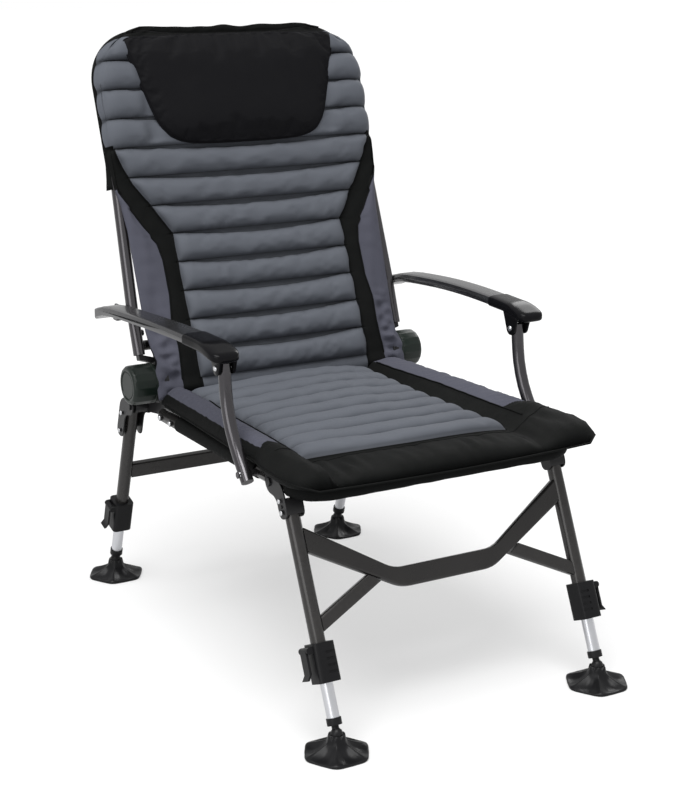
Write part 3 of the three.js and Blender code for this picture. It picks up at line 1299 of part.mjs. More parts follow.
// Headrest: a flat pad sewn on the mattress, straight at its top and round at its lower corners
function headrest() {
  const seat = BACK_PAD_TOP_FRONT + CLEARANCE;
  const place = (u, v, side) => {
    const along = mix(HEADREST_BOTTOM, HEADREST_TOP, v);
    const straight = mix(HEADREST_BOTTOM_HALF, HEADREST_TOP_HALF, v);
    const into = THREE.MathUtils.clamp((HEADREST_BOTTOM + HEADREST_CORNER - along) / HEADREST_CORNER, 0, 1);
    const half = straight - HEADREST_CORNER * (1 - Math.sqrt(1 - into * into * (1 - CLEARANCE / HEADREST_CORNER)));
    const full = crown(u, v) ** (1 / 2);
    const top = HEADREST_EDGE + (HEADREST_FRONT - seat - HEADREST_EDGE) * full;
    const height = side > 0 ? top : side < 0 ? 0 : HEADREST_EDGE / 2;
    return [u * half, -seat - height, along];
  };
  return cushion(PAD_COLUMNS, HEADREST_ROWS, place);
}

// Pocket: the black cover that slips down over the top of the back frame behind the mattress
function backPocket() {
  const radius = backTubeRadius + CLEARANCE + FABRIC;
  const low = BACK_HALF_WIDTH + radius;
  const high = BACK_TOP_HALF_WIDTH + radius;
  const slab = facePlate(
    roundedShape([[-low, BACK_TUBE_KNEE], [low, BACK_TUBE_KNEE], [high, POCKET_TOP], [-high, POCKET_TOP]],
      BACK_CORNER_RADIUS),
    0, 2 * radius);
  const below = box(-2 * low, 2 * low, -2 * radius, 2 * radius, 0, POCKET_START);
  const innerHalf = BACK_TOP_HALF_WIDTH - backTubeRadius - RUNNING_GAP;
  const window = box(-innerHalf, innerHalf, -radius - OVERRUN, radius - FABRIC, POCKET_START - OVERRUN,
    BACK_TUBE_TOP - BACK_TUBE_DIAMETER);
  return cut(slab, below, window, sweep(backTubePath(), boreOver(BACK_TUBE_DIAMETER)));
}

// Assembly
const chair = new THREE.Group();
const SIDES = [["left", 1], ["right", -1]];

// A group for one side: what is drawn on the sitter's left is mirrored for the right
function sideGroup(parent, sign) {
  const group = new THREE.Group();
  group.scale.x = sign;
  parent.add(group);
  return group;
}

function addSeat() {
  chair.add(
    mesh("seat_frame_tube", FRAME_PAINT, seatFrame()),
    mesh("rear_cross_tube", FRAME_PAINT, rearCrossTube()),
    mesh("seat_sling", BLACK_FABRIC, seatSling()),
    mesh("seat_cushion", GREY_FABRIC, seatPad()),
  );
  for (const [name, sign] of SIDES) {
    const side = sideGroup(chair, sign);
    side.add(mesh(`joint_plate_${name}`, BLACK_STEEL, jointPlate()));
    const axle = new THREE.Group();
    axle.position.set(0, RECLINE_Y, RECLINE_Z);
    axle.add(
      mesh(`recline_bolt_${name}`, ZINC, reclineBolt()),
      mesh(`recline_knob_${name}`, KNOB_PLASTIC, knob()),
    );
    side.add(axle);
    side.add(mesh(`arm_upright_${name}`, LINK_PAINT, upright()));
    side.add(mesh(`armrest_bar_${name}`, ARM_GLOSS, armrestBar()));
    side.add(mesh(`armrest_cap_${name}`, BLACK_GLOSS, armrestCap()));
  }
}

function addBack() {
  const back = new THREE.Group();
  back.position.set(0, RECLINE_Y, RECLINE_Z);
  back.rotation.x = degrees(-RECLINE_ANGLE);
  back.add(
    mesh("back_frame_tube", LINK_PAINT, backFrame()),
    mesh("lower_back_tube", FRAME_PAINT, lowerBackTube()),
    mesh("back_mattress", GREY_FABRIC, backPad()),
    mesh("back_pocket", BLACK_FABRIC, backPocket()),
    mesh("headrest_pad", HEADREST_FABRIC, headrest()),
  );
  for (const [name, sign] of SIDES) {
    const side = sideGroup(back, sign);
    side.add(
      mesh(`back_hinge_arm_${name}`, BLACK_STEEL, hingeArm()),
      mesh(`armrest_lug_${name}`, BLACK_STEEL, armLug()),
    );
  }
  chair.add(back);
}

function addLegs(leg, end) {
  const frame = new THREE.Group();
  frame.position.set(0, leg.pivotY, leg.pivotZ);
  frame.rotation.x = leg.turn;
  chair.add(frame);
  if (end === "front") frame.add(mesh("front_cross_tube", FRAME_PAINT, frontCrossTube()));
  else frame.add(mesh("rear_leg_cross_bar", FRAME_PAINT, rearCrossBar()));
  for (const [name, sign] of SIDES) {
    const side = sideGroup(frame, sign);
    const at = `${end}_${name}`;
    side.add(
      mesh(`leg_tube_${at}`, FRAME_PAINT, legTube(leg)),
      mesh(`leg_bracket_${at}`, BLACK_STEEL, legBracket(leg)),
      mesh(`leg_clamp_${at}`, BLACK_PLASTIC, clampBody(leg)),
      mesh(`clamp_lever_${at}`, BLACK_PLASTIC, clampLever(leg)),
      mesh(`inner_leg_${at}`, BRIGHT_ALUMINIUM, innerLeg(leg)),
      mesh(`ankle_${at}`, BLACK_PLASTIC, ankle(leg)),
    );
    if (end === "front") side.add(mesh(`front_brace_${name}`, FRAME_PAINT, frontBrace()));
    const foot = mesh(`mud_foot_${at}`, BLACK_PLASTIC, mudFoot());
    foot.position.set(FRAME_HALF_WIDTH, leg.sign * FOOT_REACH, BALL_HEIGHT);
    sideGroup(chair, sign).add(foot);
  }
}

addSeat();
addBack();
addLegs(FRONT, "front");
addLegs(REAR, "rear");

export default chair;
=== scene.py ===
"""Looks of a high-back carp fishing chair.

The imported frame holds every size, place and joint. This script adds the sewn soft goods as their own
meshes, rounds off and finishes the metal and moulded pieces, and sets the light and the camera.
Lengths in the classes are millimetres, as a maker would mark them; meshes are built in metres.
"""

from __future__ import annotations

import json
import logging
import math
from dataclasses import dataclass, field
from enum import Enum

import bpy
import numpy as np
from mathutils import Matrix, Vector

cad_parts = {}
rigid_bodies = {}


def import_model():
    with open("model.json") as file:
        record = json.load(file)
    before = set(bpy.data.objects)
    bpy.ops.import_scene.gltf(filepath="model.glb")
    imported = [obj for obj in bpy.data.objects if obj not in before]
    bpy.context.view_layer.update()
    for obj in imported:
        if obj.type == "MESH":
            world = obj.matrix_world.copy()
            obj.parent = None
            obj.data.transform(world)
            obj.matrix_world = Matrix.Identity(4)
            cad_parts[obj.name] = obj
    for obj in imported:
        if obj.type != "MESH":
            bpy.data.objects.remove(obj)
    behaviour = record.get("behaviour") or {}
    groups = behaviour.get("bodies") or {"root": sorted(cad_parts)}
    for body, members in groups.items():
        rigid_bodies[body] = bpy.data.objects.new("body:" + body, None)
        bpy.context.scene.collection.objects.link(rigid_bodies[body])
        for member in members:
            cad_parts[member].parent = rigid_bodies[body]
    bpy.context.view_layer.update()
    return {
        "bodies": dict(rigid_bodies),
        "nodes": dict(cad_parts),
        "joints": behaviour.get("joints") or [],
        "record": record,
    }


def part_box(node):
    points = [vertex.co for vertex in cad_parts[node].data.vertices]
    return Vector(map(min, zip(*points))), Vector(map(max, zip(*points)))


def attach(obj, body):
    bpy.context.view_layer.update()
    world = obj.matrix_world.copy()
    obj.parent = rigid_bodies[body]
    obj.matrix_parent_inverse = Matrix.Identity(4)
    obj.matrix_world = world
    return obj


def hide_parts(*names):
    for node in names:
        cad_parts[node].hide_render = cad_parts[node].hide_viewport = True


LOG = logging.getLogger("chair")
MM = 0.001
# Point attribute of the pads that holds painted shade in and beside the sewn folds, darkening the cloth's
# colour there.
PAINTED_SHADE_ATTRIBUTE = "fold"
CLOTH_UV = "cloth"
Colour = tuple[float, float, float]
Curve = list[tuple[float, float]]
Grid = dict[str, np.ndarray]
WHITE = (1, 1, 1, 1)
HARD_DUST = (0.32, 0.3, 0.27)
CLOTH_DUST = (0.3, 0.29, 0.27)
# How strongly the painted fold shade darkens the cloth, and the share of the weft colour that it darkens
# towards.
FOLD_SHADE = 0.6
FOLD_SHADE_DARKNESS = 0.25


class Side(Enum):
    """The two sides of the chair, as the sitter has them."""

    LEFT = 1
    RIGHT = -1

    @property
    def label(self) -> str:
        """The side's name in the frame."""
        return self.name.lower()


class LegEnd(Enum):
    """The two leg frames."""

    FRONT = "front"
    REAR = "rear"


def smooth(values: np.ndarray | float, start: float, end: float) -> np.ndarray:
    """An S-shaped rise from 0 at start to 1 at end.

    Args:
        values: where it is read.
        start: value at which the rise begins.
        end: value at which it is complete.

    Returns:
        The share risen, from 0 to 1.
    """
    share = np.clip((np.asarray(values, float) - start) / (end - start), 0, 1)
    return share * share * (3 - 2 * share)


def mix(low: np.ndarray | float, high: np.ndarray | float, share: np.ndarray | float) -> np.ndarray:
    """The value a share of the way from low to high."""
    return low + (high - low) * np.asarray(share, float)


def along(points: Curve, values: np.ndarray | float) -> np.ndarray:
    """A measured curve read at some places.

    Args:
        points: (place, value) pairs in rising order of place.
        values: the places to read it at.

    Returns:
        The curve's values there.
    """
    places, heights = zip(*points)
    return np.interp(values, places, heights)


def ripple(x: np.ndarray, y: np.ndarray, pitch: float, seed: int) -> np.ndarray:
    """Irregular low creases, as loose cloth has.

    Args:
        x: first coordinate of each place, in millimetres.
        y: second coordinate.
        pitch: usual distance between two creases.
        seed: picks one of the patterns.

    Returns:
        Heights between about -1 and 1.
    """
    source = np.random.default_rng(seed)
    total = np.zeros(np.broadcast(x, y).shape)
    for octave in range(5):
        turn = source.uniform(0, math.pi)
        wave = 2 * math.pi / (pitch * source.uniform(0.7, 1.6))
        over = x * math.cos(turn) + y * math.sin(turn)
        aside = x * math.sin(turn) - y * math.cos(turn)
        bend = source.uniform(0.6, 1.6) * np.sin(aside * wave * 0.31 + octave)
        total = total + np.sin(over * wave + bend + source.uniform(0, 6.3))
    return total / 3


def dome(share: np.ndarray | float, power: float = 2) -> np.ndarray:
    """A rounded fall from 1 where share is 0 to 0 where it is 1 or more."""
    return np.sqrt(np.maximum(1 - share**power, 0))


def round_turn(count: int) -> np.ndarray:
    """Evenly spaced angles once round a circle, in radians."""
    return np.linspace(0, 2 * math.pi, count, endpoint=False)


def quads_of(grid: np.ndarray) -> np.ndarray:
    """The quads between the points of a grid of point numbers, four numbers at each cell."""
    return np.stack([grid[:-1, :-1], grid[:-1, 1:], grid[1:, 1:], grid[1:, :-1]], -1)


def put(name: str, data: bpy.types.ID) -> bpy.types.Object:
    """Adds an object that shows some data to the scene."""
    thing = bpy.data.objects.new(name, data)
    bpy.context.scene.collection.objects.link(thing)
    return thing


def fit(piece: bpy.types.Object, body: str, node: str = "") -> None:
    """Gives a piece its place in the part.

    Args:
        piece: the piece.
        body: body that it rides.
        node: CAD node that it replaces, if it does.
    """
    if node:
        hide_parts(node)
    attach(piece, body)


# Shader wiring
class Wiring:
    """Places and joins nodes in one node tree."""

    def __init__(self, tree: bpy.types.NodeTree) -> None:
        """Starts with an empty tree."""
        self.tree = tree
        tree.nodes.clear()

    def add(
        self, kind: str, inputs: dict[str | int, object] | None = None, **settings: object
    ) -> bpy.types.Node:
        """Adds a node.

        Args:
            kind: Blender's node type.
            inputs: by name or number, the socket or the value that an input gets.
            **settings: attributes set on the node.

        Returns:
            The new node.
        """
        node = self.tree.nodes.new(kind)
        for name, value in settings.items():
            setattr(node, name, value)
        self.fill(node, inputs or {})
        return node

    def fill(self, node: bpy.types.Node, inputs: dict[str | int, object]) -> None:
        """Links or sets some inputs of a node.

        Args:
            node: the node.
            inputs: by name or number, the socket or the value that an input gets.
        """
        for name, value in inputs.items():
            if isinstance(value, bpy.types.NodeSocket):
                self.tree.links.new(value, node.inputs[name])
            else:
                node.inputs[name].default_value = value

    def maths(self, operation: str, *values: object) -> bpy.types.NodeSocket:
        """A Math node.

        Args:
            operation: what it works out.
            *values: a socket or a number for each of its inputs.

        Returns:
            Its output.
        """
        return self.add("ShaderNodeMath", dict(enumerate(values)), operation=operation).outputs[0]

    def blend(self, share: object, first: object, second: object) -> bpy.types.NodeSocket:
        """A colour mixed from two.

        Args:
            share: socket or number, 0 for the first colour and 1 for the second.
            first: socket or colour.
            second: socket or colour.

        Returns:
            The mixed colour's socket.
        """
        node = self.add("ShaderNodeMix", data_type="RGBA")
        wanted = {("Factor", "VALUE"): share, ("A", "RGBA"): first, ("B", "RGBA"): second}
        for number, socket in enumerate(node.inputs):
            value = wanted.pop((socket.name, socket.type), None)
            if isinstance(value, tuple):
                value = (*value, 1)
            if value is not None:
                self.fill(node, {number: value})
        return next(socket for socket in node.outputs if socket.type == "RGBA")

    def surface(self, inputs: dict[str | int, object]) -> None:
        """Adds a material's shader and its output.

        Args:
            inputs: by name, the socket or the value that an input of the shader gets.
        """
        shader = self.add("ShaderNodeBsdfPrincipled", inputs)
        self.add("ShaderNodeOutputMaterial", {"Surface": shader.outputs["BSDF"]})


def new_material(name: str) -> tuple[bpy.types.Material, Wiring]:
    """Starts a material with no nodes in it."""
    material = bpy.data.materials.new(name)
    material.use_nodes = True
    return material, Wiring(material.node_tree)


def new_group(
    name: str, kind: str, inputs: dict[str, float | str], outputs: tuple[str, ...]
) -> tuple[Wiring, bpy.types.Node, bpy.types.Node]:
    """Starts a node group.

    Args:
        name: the group's name.
        kind: Shader or Geometry.
        inputs: for each input its default, where it is a number, or else its type.
        outputs: the outputs: numbers, apart from one named Geometry.

    Returns:
        Its wiring, its input node and its output node.
    """
    tree = bpy.data.node_groups.new(name, f"{kind}NodeTree")
    for label, given in inputs.items():
        typed = isinstance(given, str)
        kind_of_input = f"NodeSocket{given if typed else 'Float'}"
        socket = tree.interface.new_socket(label, in_out="INPUT", socket_type=kind_of_input)
        if not typed:
            socket.default_value = given
    for label in outputs:
        kind_of_output = "NodeSocketGeometry" if label == "Geometry" else "NodeSocketFloat"
        tree.interface.new_socket(label, in_out="OUTPUT", socket_type=kind_of_output)
    wiring = Wiring(tree)
    return wiring, wiring.add("NodeGroupInput"), wiring.add("NodeGroupOutput")


def make_grain_group() -> bpy.types.ShaderNodeTree:
    """Grain of paint, plating and mouldings: a fine height and a slow change of tone."""
    wiring, enter, leave = new_group(
        "surface_grain", "Shader", {"Vector": "Vector", "Scale": 900.0, "Patches": 14.0}, ("Height", "Tone"))
    for scale, detail, result in (("Scale", 3, "Height"), ("Patches", 4, "Tone")):
        noise = wiring.add("ShaderNodeTexNoise", {
            "Vector": enter.outputs["Vector"], "Scale": enter.outputs[scale], "Detail": detail})
        wiring.fill(leave, {result: noise.outputs["Fac"]})
    return wiring.tree


def make_wear_group() -> bpy.types.ShaderNodeTree:
    """Wear where edges rub: a mask from the sharpness of the edge, broken up by noise."""
    wiring, enter, leave = new_group("edge_wear", "Shader", {"Vector": "Vector", "Amount": 0.5}, ("Mask",))
    shape = wiring.add("ShaderNodeNewGeometry")
    breakup = wiring.add("ShaderNodeTexNoise", {"Vector": enter.outputs["Vector"], "Scale": 160, "Detail": 5})
    sharp = wiring.maths("SUBTRACT", shape.outputs["Pointiness"], 0.53)
    strong = wiring.maths("MULTIPLY", sharp, 14.0)
    broken = wiring.maths("MULTIPLY", strong, breakup.outputs["Fac"])
    scaled = wiring.maths("MULTIPLY", broken, enter.outputs["Amount"])
    clamped = wiring.add("ShaderNodeClamp", {"Value": scaled})
    wiring.fill(leave, {"Mask": clamped.outputs[0]})
    return wiring.tree


def make_dust_group() -> bpy.types.ShaderNodeTree:
    """Dust: a faint mask on what faces up and in slow patches."""
    wiring, enter, leave = new_group("dust", "Shader", {"Vector": "Vector", "Amount": 0.1}, ("Mask",))
    shape = wiring.add("ShaderNodeNewGeometry")
    parts = wiring.add("ShaderNodeSeparateXYZ", {0: shape.outputs["Normal"]})
    noise = wiring.add("ShaderNodeTexNoise", {"Vector": enter.outputs["Vector"], "Scale": 35, "Detail": 6})
    up = wiring.maths("MAXIMUM", parts.outputs["Z"], 0.0)
    patchy = wiring.maths("MULTIPLY", up, noise.outputs["Fac"])
    wiring.fill(leave, {"Mask": wiring.maths("MULTIPLY", patchy, enter.outputs["Amount"])})
    return wiring.tree


def make_weave_group() -> bpy.types.ShaderNodeTree:
    """Plain weave in the cloth's own coordinates: thread height, and which thread lies on top."""
    wiring, enter, leave = new_group(
        "weave", "Shader", {"Vector": "Vector", "Threads": 1200.0}, ("Height", "Warp"))
    parts = wiring.add("ShaderNodeSeparateXYZ", {0: enter.outputs["Vector"]})
    waves = []
    for axis in ("X", "Y"):
        phase = wiring.maths("MULTIPLY", parts.outputs[axis], enter.outputs["Threads"])
        waves.append(wiring.maths("SINE", wiring.maths("MULTIPLY", phase, math.pi)))
    crossing = wiring.maths("MULTIPLY", *waves)
    wiring.fill(leave, {"Height": wiring.maths("ABSOLUTE", crossing),
                        "Warp": wiring.maths("GREATER_THAN", crossing, 0.0)})
    return wiring.tree


@dataclass
class Effects:
    """The node groups that the finishes share."""

    grain: bpy.types.ShaderNodeTree = field(default_factory=make_grain_group)
    wear: bpy.types.ShaderNodeTree = field(default_factory=make_wear_group)
    dust: bpy.types.ShaderNodeTree = field(default_factory=make_dust_group)
    weave: bpy.types.ShaderNodeTree = field(default_factory=make_weave_group)


@dataclass(frozen=True)
class HardFinish:
    """Paint, plating, bare metal or moulded plastic."""

    name: str
    colour: Colour
    second: Colour
    worn: Colour
    roughness: float
    metallic: float = 0.0
    coat: float = 0.0
    coat_roughness: float = 0.1
    specular: float = 0.5
    grain: float = 900.0
    grain_depth: float = 0.02
    patches: float = 14.0
    wear: float = 0.5
    dust: float = 0.04

    def build(self, effects: Effects) -> bpy.types.Material:
        """Builds the material.

        Args:
            effects: the shared node groups.

        Returns:
            The new material.
        """
        material, wiring = new_material(self.name)
        place = wiring.add("ShaderNodeTexCoord").outputs["Object"]
        grain = wiring.add("ShaderNodeGroup", {"Vector": place, "Scale": self.grain, "Patches": self.patches},
                           node_tree=effects.grain)
        wear = wiring.add("ShaderNodeGroup", {"Vector": place, "Amount": self.wear}, node_tree=effects.wear)
        dust = wiring.add("ShaderNodeGroup", {"Vector": place, "Amount": self.dust}, node_tree=effects.dust)
        base = wiring.blend(grain.outputs["Tone"], self.colour, self.second)
        worn = wiring.blend(wear.outputs["Mask"], base, self.worn)
        bump = wiring.add("ShaderNodeBump", {
            "Strength": 0.5, "Distance": self.grain_depth * MM, "Height": grain.outputs["Height"]})
        wiring.surface({
            "Base Color": wiring.blend(dust.outputs["Mask"], worn, HARD_DUST),
            "Roughness": wiring.maths("MULTIPLY_ADD", grain.outputs["Tone"], 0.16, self.roughness - 0.08),
            "Metallic": self.metallic,
            "Coat Weight": self.coat,
            "Coat Roughness": self.coat_roughness,
            "Specular IOR Level": self.specular,
            "Normal": bump.outputs["Normal"],
        })
        return material


@dataclass(frozen=True)
class ClothFinish:
    """Woven or knitted cloth, in the coordinates of its own cut."""

    name: str
    warp: Colour
    weft: Colour
    threads: float
    thread_depth: float
    crease: float = 0.0
    crease_scale: float = 45.0
    roughness: float = 0.85
    sheen: float = 0.15
    sheen_tint: Colour = (0.5, 0.5, 0.55)
    specular: float = 0.3
    mottle: float = 0.35

    def build(self, effects: Effects) -> bpy.types.Material:
        """Builds the material.

        Args:
            effects: the shared node groups.

        Returns:
            The new material.
        """
        material, wiring = new_material(self.name)
        cut = wiring.add("ShaderNodeUVMap", uv_map=CLOTH_UV).outputs["UV"]
        place = wiring.add("ShaderNodeTexCoord").outputs["Object"]
        weave = wiring.add("ShaderNodeGroup", {"Vector": cut, "Threads": self.threads},
                           node_tree=effects.weave)
        grain = wiring.add("ShaderNodeGroup", {"Vector": place, "Scale": 2400, "Patches": self.crease_scale},
                           node_tree=effects.grain)
        dust = wiring.add("ShaderNodeGroup", {"Vector": place, "Amount": 0.02}, node_tree=effects.dust)
        threads = wiring.blend(weave.outputs["Warp"], self.weft, self.warp)
        flecks = wiring.maths("MULTIPLY", grain.outputs["Height"], self.mottle)
        flecked = wiring.blend(flecks, threads, tuple(value * (1 - self.mottle) for value in self.weft))
        dusty = wiring.blend(dust.outputs["Mask"], flecked, CLOTH_DUST)
        # Painted shade: the cloth's colour is darkened towards a dark share of its weft in and beside the
        # sewn folds, as the pad's point attribute gives.
        fold = wiring.add("ShaderNodeAttribute", attribute_name=PAINTED_SHADE_ATTRIBUTE).outputs["Fac"]
        shade = wiring.maths("MULTIPLY", fold, FOLD_SHADE)
        fine = wiring.add("ShaderNodeBump", {
            "Strength": 0.6, "Distance": self.thread_depth * MM, "Height": weave.outputs["Height"]})
        soft = wiring.add("ShaderNodeBump", {
            "Strength": 0.3, "Distance": self.crease * MM, "Height": grain.outputs["Tone"],
            "Normal": fine.outputs["Normal"]})
        wiring.surface({
            "Base Color": wiring.blend(shade, dusty, tuple(FOLD_SHADE_DARKNESS * value for value in self.weft)),
            "Roughness": self.roughness,
            "Specular IOR Level": self.specular,
            "Sheen Weight": self.sheen,
            "Sheen Roughness": 0.4,
            "Sheen Tint": (*self.sheen_tint, 1),
            "Normal": soft.outputs["Normal"],
        })
        return material


HARD_FINISHES = (
    HardFinish("frame_paint", (0.021, 0.0198, 0.0198), (0.032, 0.03, 0.029), (0.17, 0.165, 0.16), 0.28,
               metallic=0.5, coat=0.25, coat_roughness=0.14, grain=1600, grain_depth=0.05, wear=0.35,
               dust=0.01),
    HardFinish("link_paint", (0.07, 0.067, 0.072), (0.092, 0.088, 0.094), (0.3, 0.3, 0.3), 0.17,
               metallic=0.85, coat=0.1, coat_roughness=0.08, grain=1200, grain_depth=0.02, wear=0.2,
               dust=0.0),
    HardFinish("arm_gloss", (0.1, 0.1, 0.104), (0.125, 0.125, 0.13), (0.26, 0.26, 0.26), 0.25,
               metallic=0.85, coat=0.1, coat_roughness=0.06, grain=700, grain_depth=0.015, wear=0.2,
               dust=0.0),
    HardFinish("black_steel", (0.008, 0.008, 0.009), (0.014, 0.014, 0.015), (0.1, 0.1, 0.1), 0.34,
               metallic=0.1, coat=0.05, coat_roughness=0.25, specular=0.3, grain=1500, grain_depth=0.06,
               wear=0.3, dust=0.008),
    HardFinish("zinc", (0.62, 0.63, 0.65), (0.74, 0.75, 0.77), (0.85, 0.85, 0.86), 0.27,
               metallic=1.0, grain=1100, grain_depth=0.02, patches=60, wear=0.2, dust=0.01),
    HardFinish("bright_aluminium", (0.7, 0.71, 0.74), (0.78, 0.79, 0.82), (0.88, 0.88, 0.9), 0.3,
               metallic=1.0, grain=420, grain_depth=0.012, patches=25, wear=0.1, dust=0.0),
    HardFinish("black_gloss", (0.005, 0.005, 0.006), (0.008, 0.008, 0.009), (0.05, 0.05, 0.05), 0.17,
               specular=0.09, grain=500, grain_depth=0.01, wear=0.06, dust=0.0),
    HardFinish("black_plastic", (0.0065, 0.0066, 0.0074), (0.011, 0.011, 0.012), (0.04, 0.04, 0.04), 0.34,
               grain=1300, grain_depth=0.08, wear=0.35, dust=0.006, specular=0.17),
    HardFinish("knob_plastic", (0.006, 0.011, 0.0085), (0.01, 0.017, 0.013), (0.05, 0.062, 0.055), 0.32,
               coat=0.05, coat_roughness=0.2, specular=0.3, grain=1000, grain_depth=0.05, wear=0.6,
               dust=0.008),
)
CLOTH_FINISHES = (
    ClothFinish("channel_knit", (0.118, 0.128, 0.15), (0.094, 0.102, 0.12), 900, 0.1, crease=0.6,
                crease_scale=30, roughness=0.72, sheen=0.05, specular=0.22, mottle=0.15),
    ClothFinish("panel_weave", (0.1, 0.102, 0.132), (0.076, 0.078, 0.102), 620, 0.2, crease=1.6,
                crease_scale=38, roughness=0.8, sheen=0.05, specular=0.15, mottle=0.35),
    ClothFinish("black_polyester", (0.0068, 0.0073, 0.0072), (0.0045, 0.005, 0.0049), 700, 0.2, crease=2.6,
                crease_scale=42, roughness=0.7, sheen=0.0, specular=0.07, mottle=0.3),
    ClothFinish("neoprene", (0.0072, 0.0072, 0.0086), (0.0056, 0.0056, 0.0068), 1300, 0.06, crease=0.5,
                crease_scale=22, roughness=0.7, sheen=0.0, specular=0.08, mottle=0.15),
    ClothFinish("thread", (0.016, 0.016, 0.018), (0.01, 0.01, 0.011), 2500, 0.1, roughness=0.6),
)


class Workshop:
    """Holds the finishes and makes meshes into pieces."""

    def __init__(self, frame: dict) -> None:
        """Builds every finish once.
        """
        self.frame = frame
        effects = Effects()
        finishes = (*HARD_FINISHES, *CLOTH_FINISHES)
        self.materials = {finish.name: finish.build(effects) for finish in finishes}

    def sheet_piece(
        self, name: str, points: np.ndarray, cut: np.ndarray, finishes: list[str], faces: np.ndarray,
        finish_of: np.ndarray,
    ) -> bpy.types.Object:
        """Makes a mesh object from points and quads.

        Args:
            name: the piece's name.
            points: (n, 3) places in metres.
            cut: (n, 2) cloth coordinates in metres.
            finishes: names of its materials.
            faces: (m, 4) point numbers, counter-clockwise from outside.
            finish_of: (m,) which material each face has.

        Returns:
            The new object.
        """
        mesh = bpy.data.meshes.new(name)
        mesh.from_pydata(points.tolist(), [], faces.tolist())
        for finish in finishes:
            mesh.materials.append(self.materials[finish])
        mesh.polygons.foreach_set("material_index", finish_of.astype(np.int32))
        mesh.polygons.foreach_set("use_smooth", np.ones(len(mesh.polygons), bool))
        layer = mesh.uv_layers.new(name=CLOTH_UV)
        corners = np.zeros(len(mesh.loops), np.int32)
        mesh.loops.foreach_get("vertex_index", corners)
        layer.data.foreach_set("uv", cut[corners].astype(np.float32).ravel())
        mesh.validate()
        mesh.update()
        return put(name, mesh)

    def cushion_piece(
        self, name: str, front: np.ndarray, rear: np.ndarray, cut: np.ndarray, finishes: list[str],
        front_finish: np.ndarray | int = 0, rear_finish: int = 0,
    ) -> bpy.types.Object:
        """Makes a closed cushion from two grids that share their border.

        Args:
            name: the piece's name.
            front: (rows, columns, 3) places of the outer face, in metres.
            rear: the same for the other face; its border isn't used.
            cut: (rows, columns, 2) cloth coordinates in metres.
            finishes: names of its materials.
            front_finish: (rows - 1, columns - 1) material of each front quad, or one for all.
            rear_finish: the rear's material.

        Returns:
            The new object.
        """
        rows, columns = front.shape[:2]
        number = np.arange(rows * columns).reshape(rows, columns)
        back_number = number.copy()
        inner = (slice(1, rows - 1), slice(1, columns - 1))
        back_number[inner] = rows * columns + np.arange((rows - 2) * (columns - 2)).reshape(rows - 2, -1)
        points = np.concatenate([front.reshape(-1, 3), rear[inner].reshape(-1, 3)])
        uv = np.concatenate([cut.reshape(-1, 2), cut[inner].reshape(-1, 2)])
        outer, inner = (quads_of(grid).reshape(-1, 4) for grid in (number, back_number))
        faces = np.concatenate([outer, inner[:, ::-1]])
        finish_of = np.empty((2, rows - 1, columns - 1), int)
        finish_of[0], finish_of[1] = front_finish, rear_finish
        return self.sheet_piece(name, points, uv, finishes, faces, finish_of.ravel())

    def thick_sheet(
        self, name: str, places: np.ndarray, thick: float, cut: np.ndarray, finish: str, kept: np.ndarray,
    ) -> bpy.types.Object:
        """Makes a closed sheet of cloth from a grid that is its inner face.

        Args:
            name: the piece's name.
            places: (rows, columns, 3) places in millimetres; its rows crossed with its columns look out.
            thick: its thickness in millimetres.
            cut: (rows, columns, 2) cloth coordinates in millimetres.
            finish: name of its material.
            kept: (rows - 1, columns - 1) which cells are there.

        Returns:
            The new object.
        """
        rows, columns = places.shape[:2]
        outward = np.cross(np.gradient(places, axis=0), np.gradient(places, axis=1))
        outward /= np.linalg.norm(outward, axis=-1, keepdims=True)
        number = np.arange(rows * columns).reshape(rows, columns)
        count = rows * columns
        quads = quads_of(number)[kept][:, [0, 3, 2, 1]]
        pairs = {tuple(edge) for k in range(4) for edge in quads[:, [k, (k + 1) % 4]].tolist()}
        rim = np.array([edge for edge in sorted(pairs) if edge[::-1] not in pairs])
        walls = np.stack([rim[:, 1] + count, rim[:, 0] + count, rim[:, 0], rim[:, 1]], -1)
        faces = np.concatenate([quads[:, ::-1], quads + count, walls])
        used, faces = np.unique(faces, return_inverse=True)
        faces = faces.reshape(-1, 4)
        outer = places + outward * thick
        points = np.concatenate([places.reshape(-1, 3), outer.reshape(-1, 3)])[used] * MM
        flat = np.concatenate([cut.reshape(-1, 2)] * 2)[used] * MM
        LOG.info("%s: %d faces", name, len(faces))
        return self.sheet_piece(name, points, flat, [finish], faces, np.zeros(len(faces), int))


CLOTH_FRAMES = 20
CLOTH_STEP = 2
CLOTH_SETTINGS = {
    "use_pressure": True, "vertex_group_mass": "sewn", "quality": 4, "tension_stiffness": 12,
    "compression_stiffness": 6, "bending_stiffness": 0.4, "shrink_min": -0.02,
}


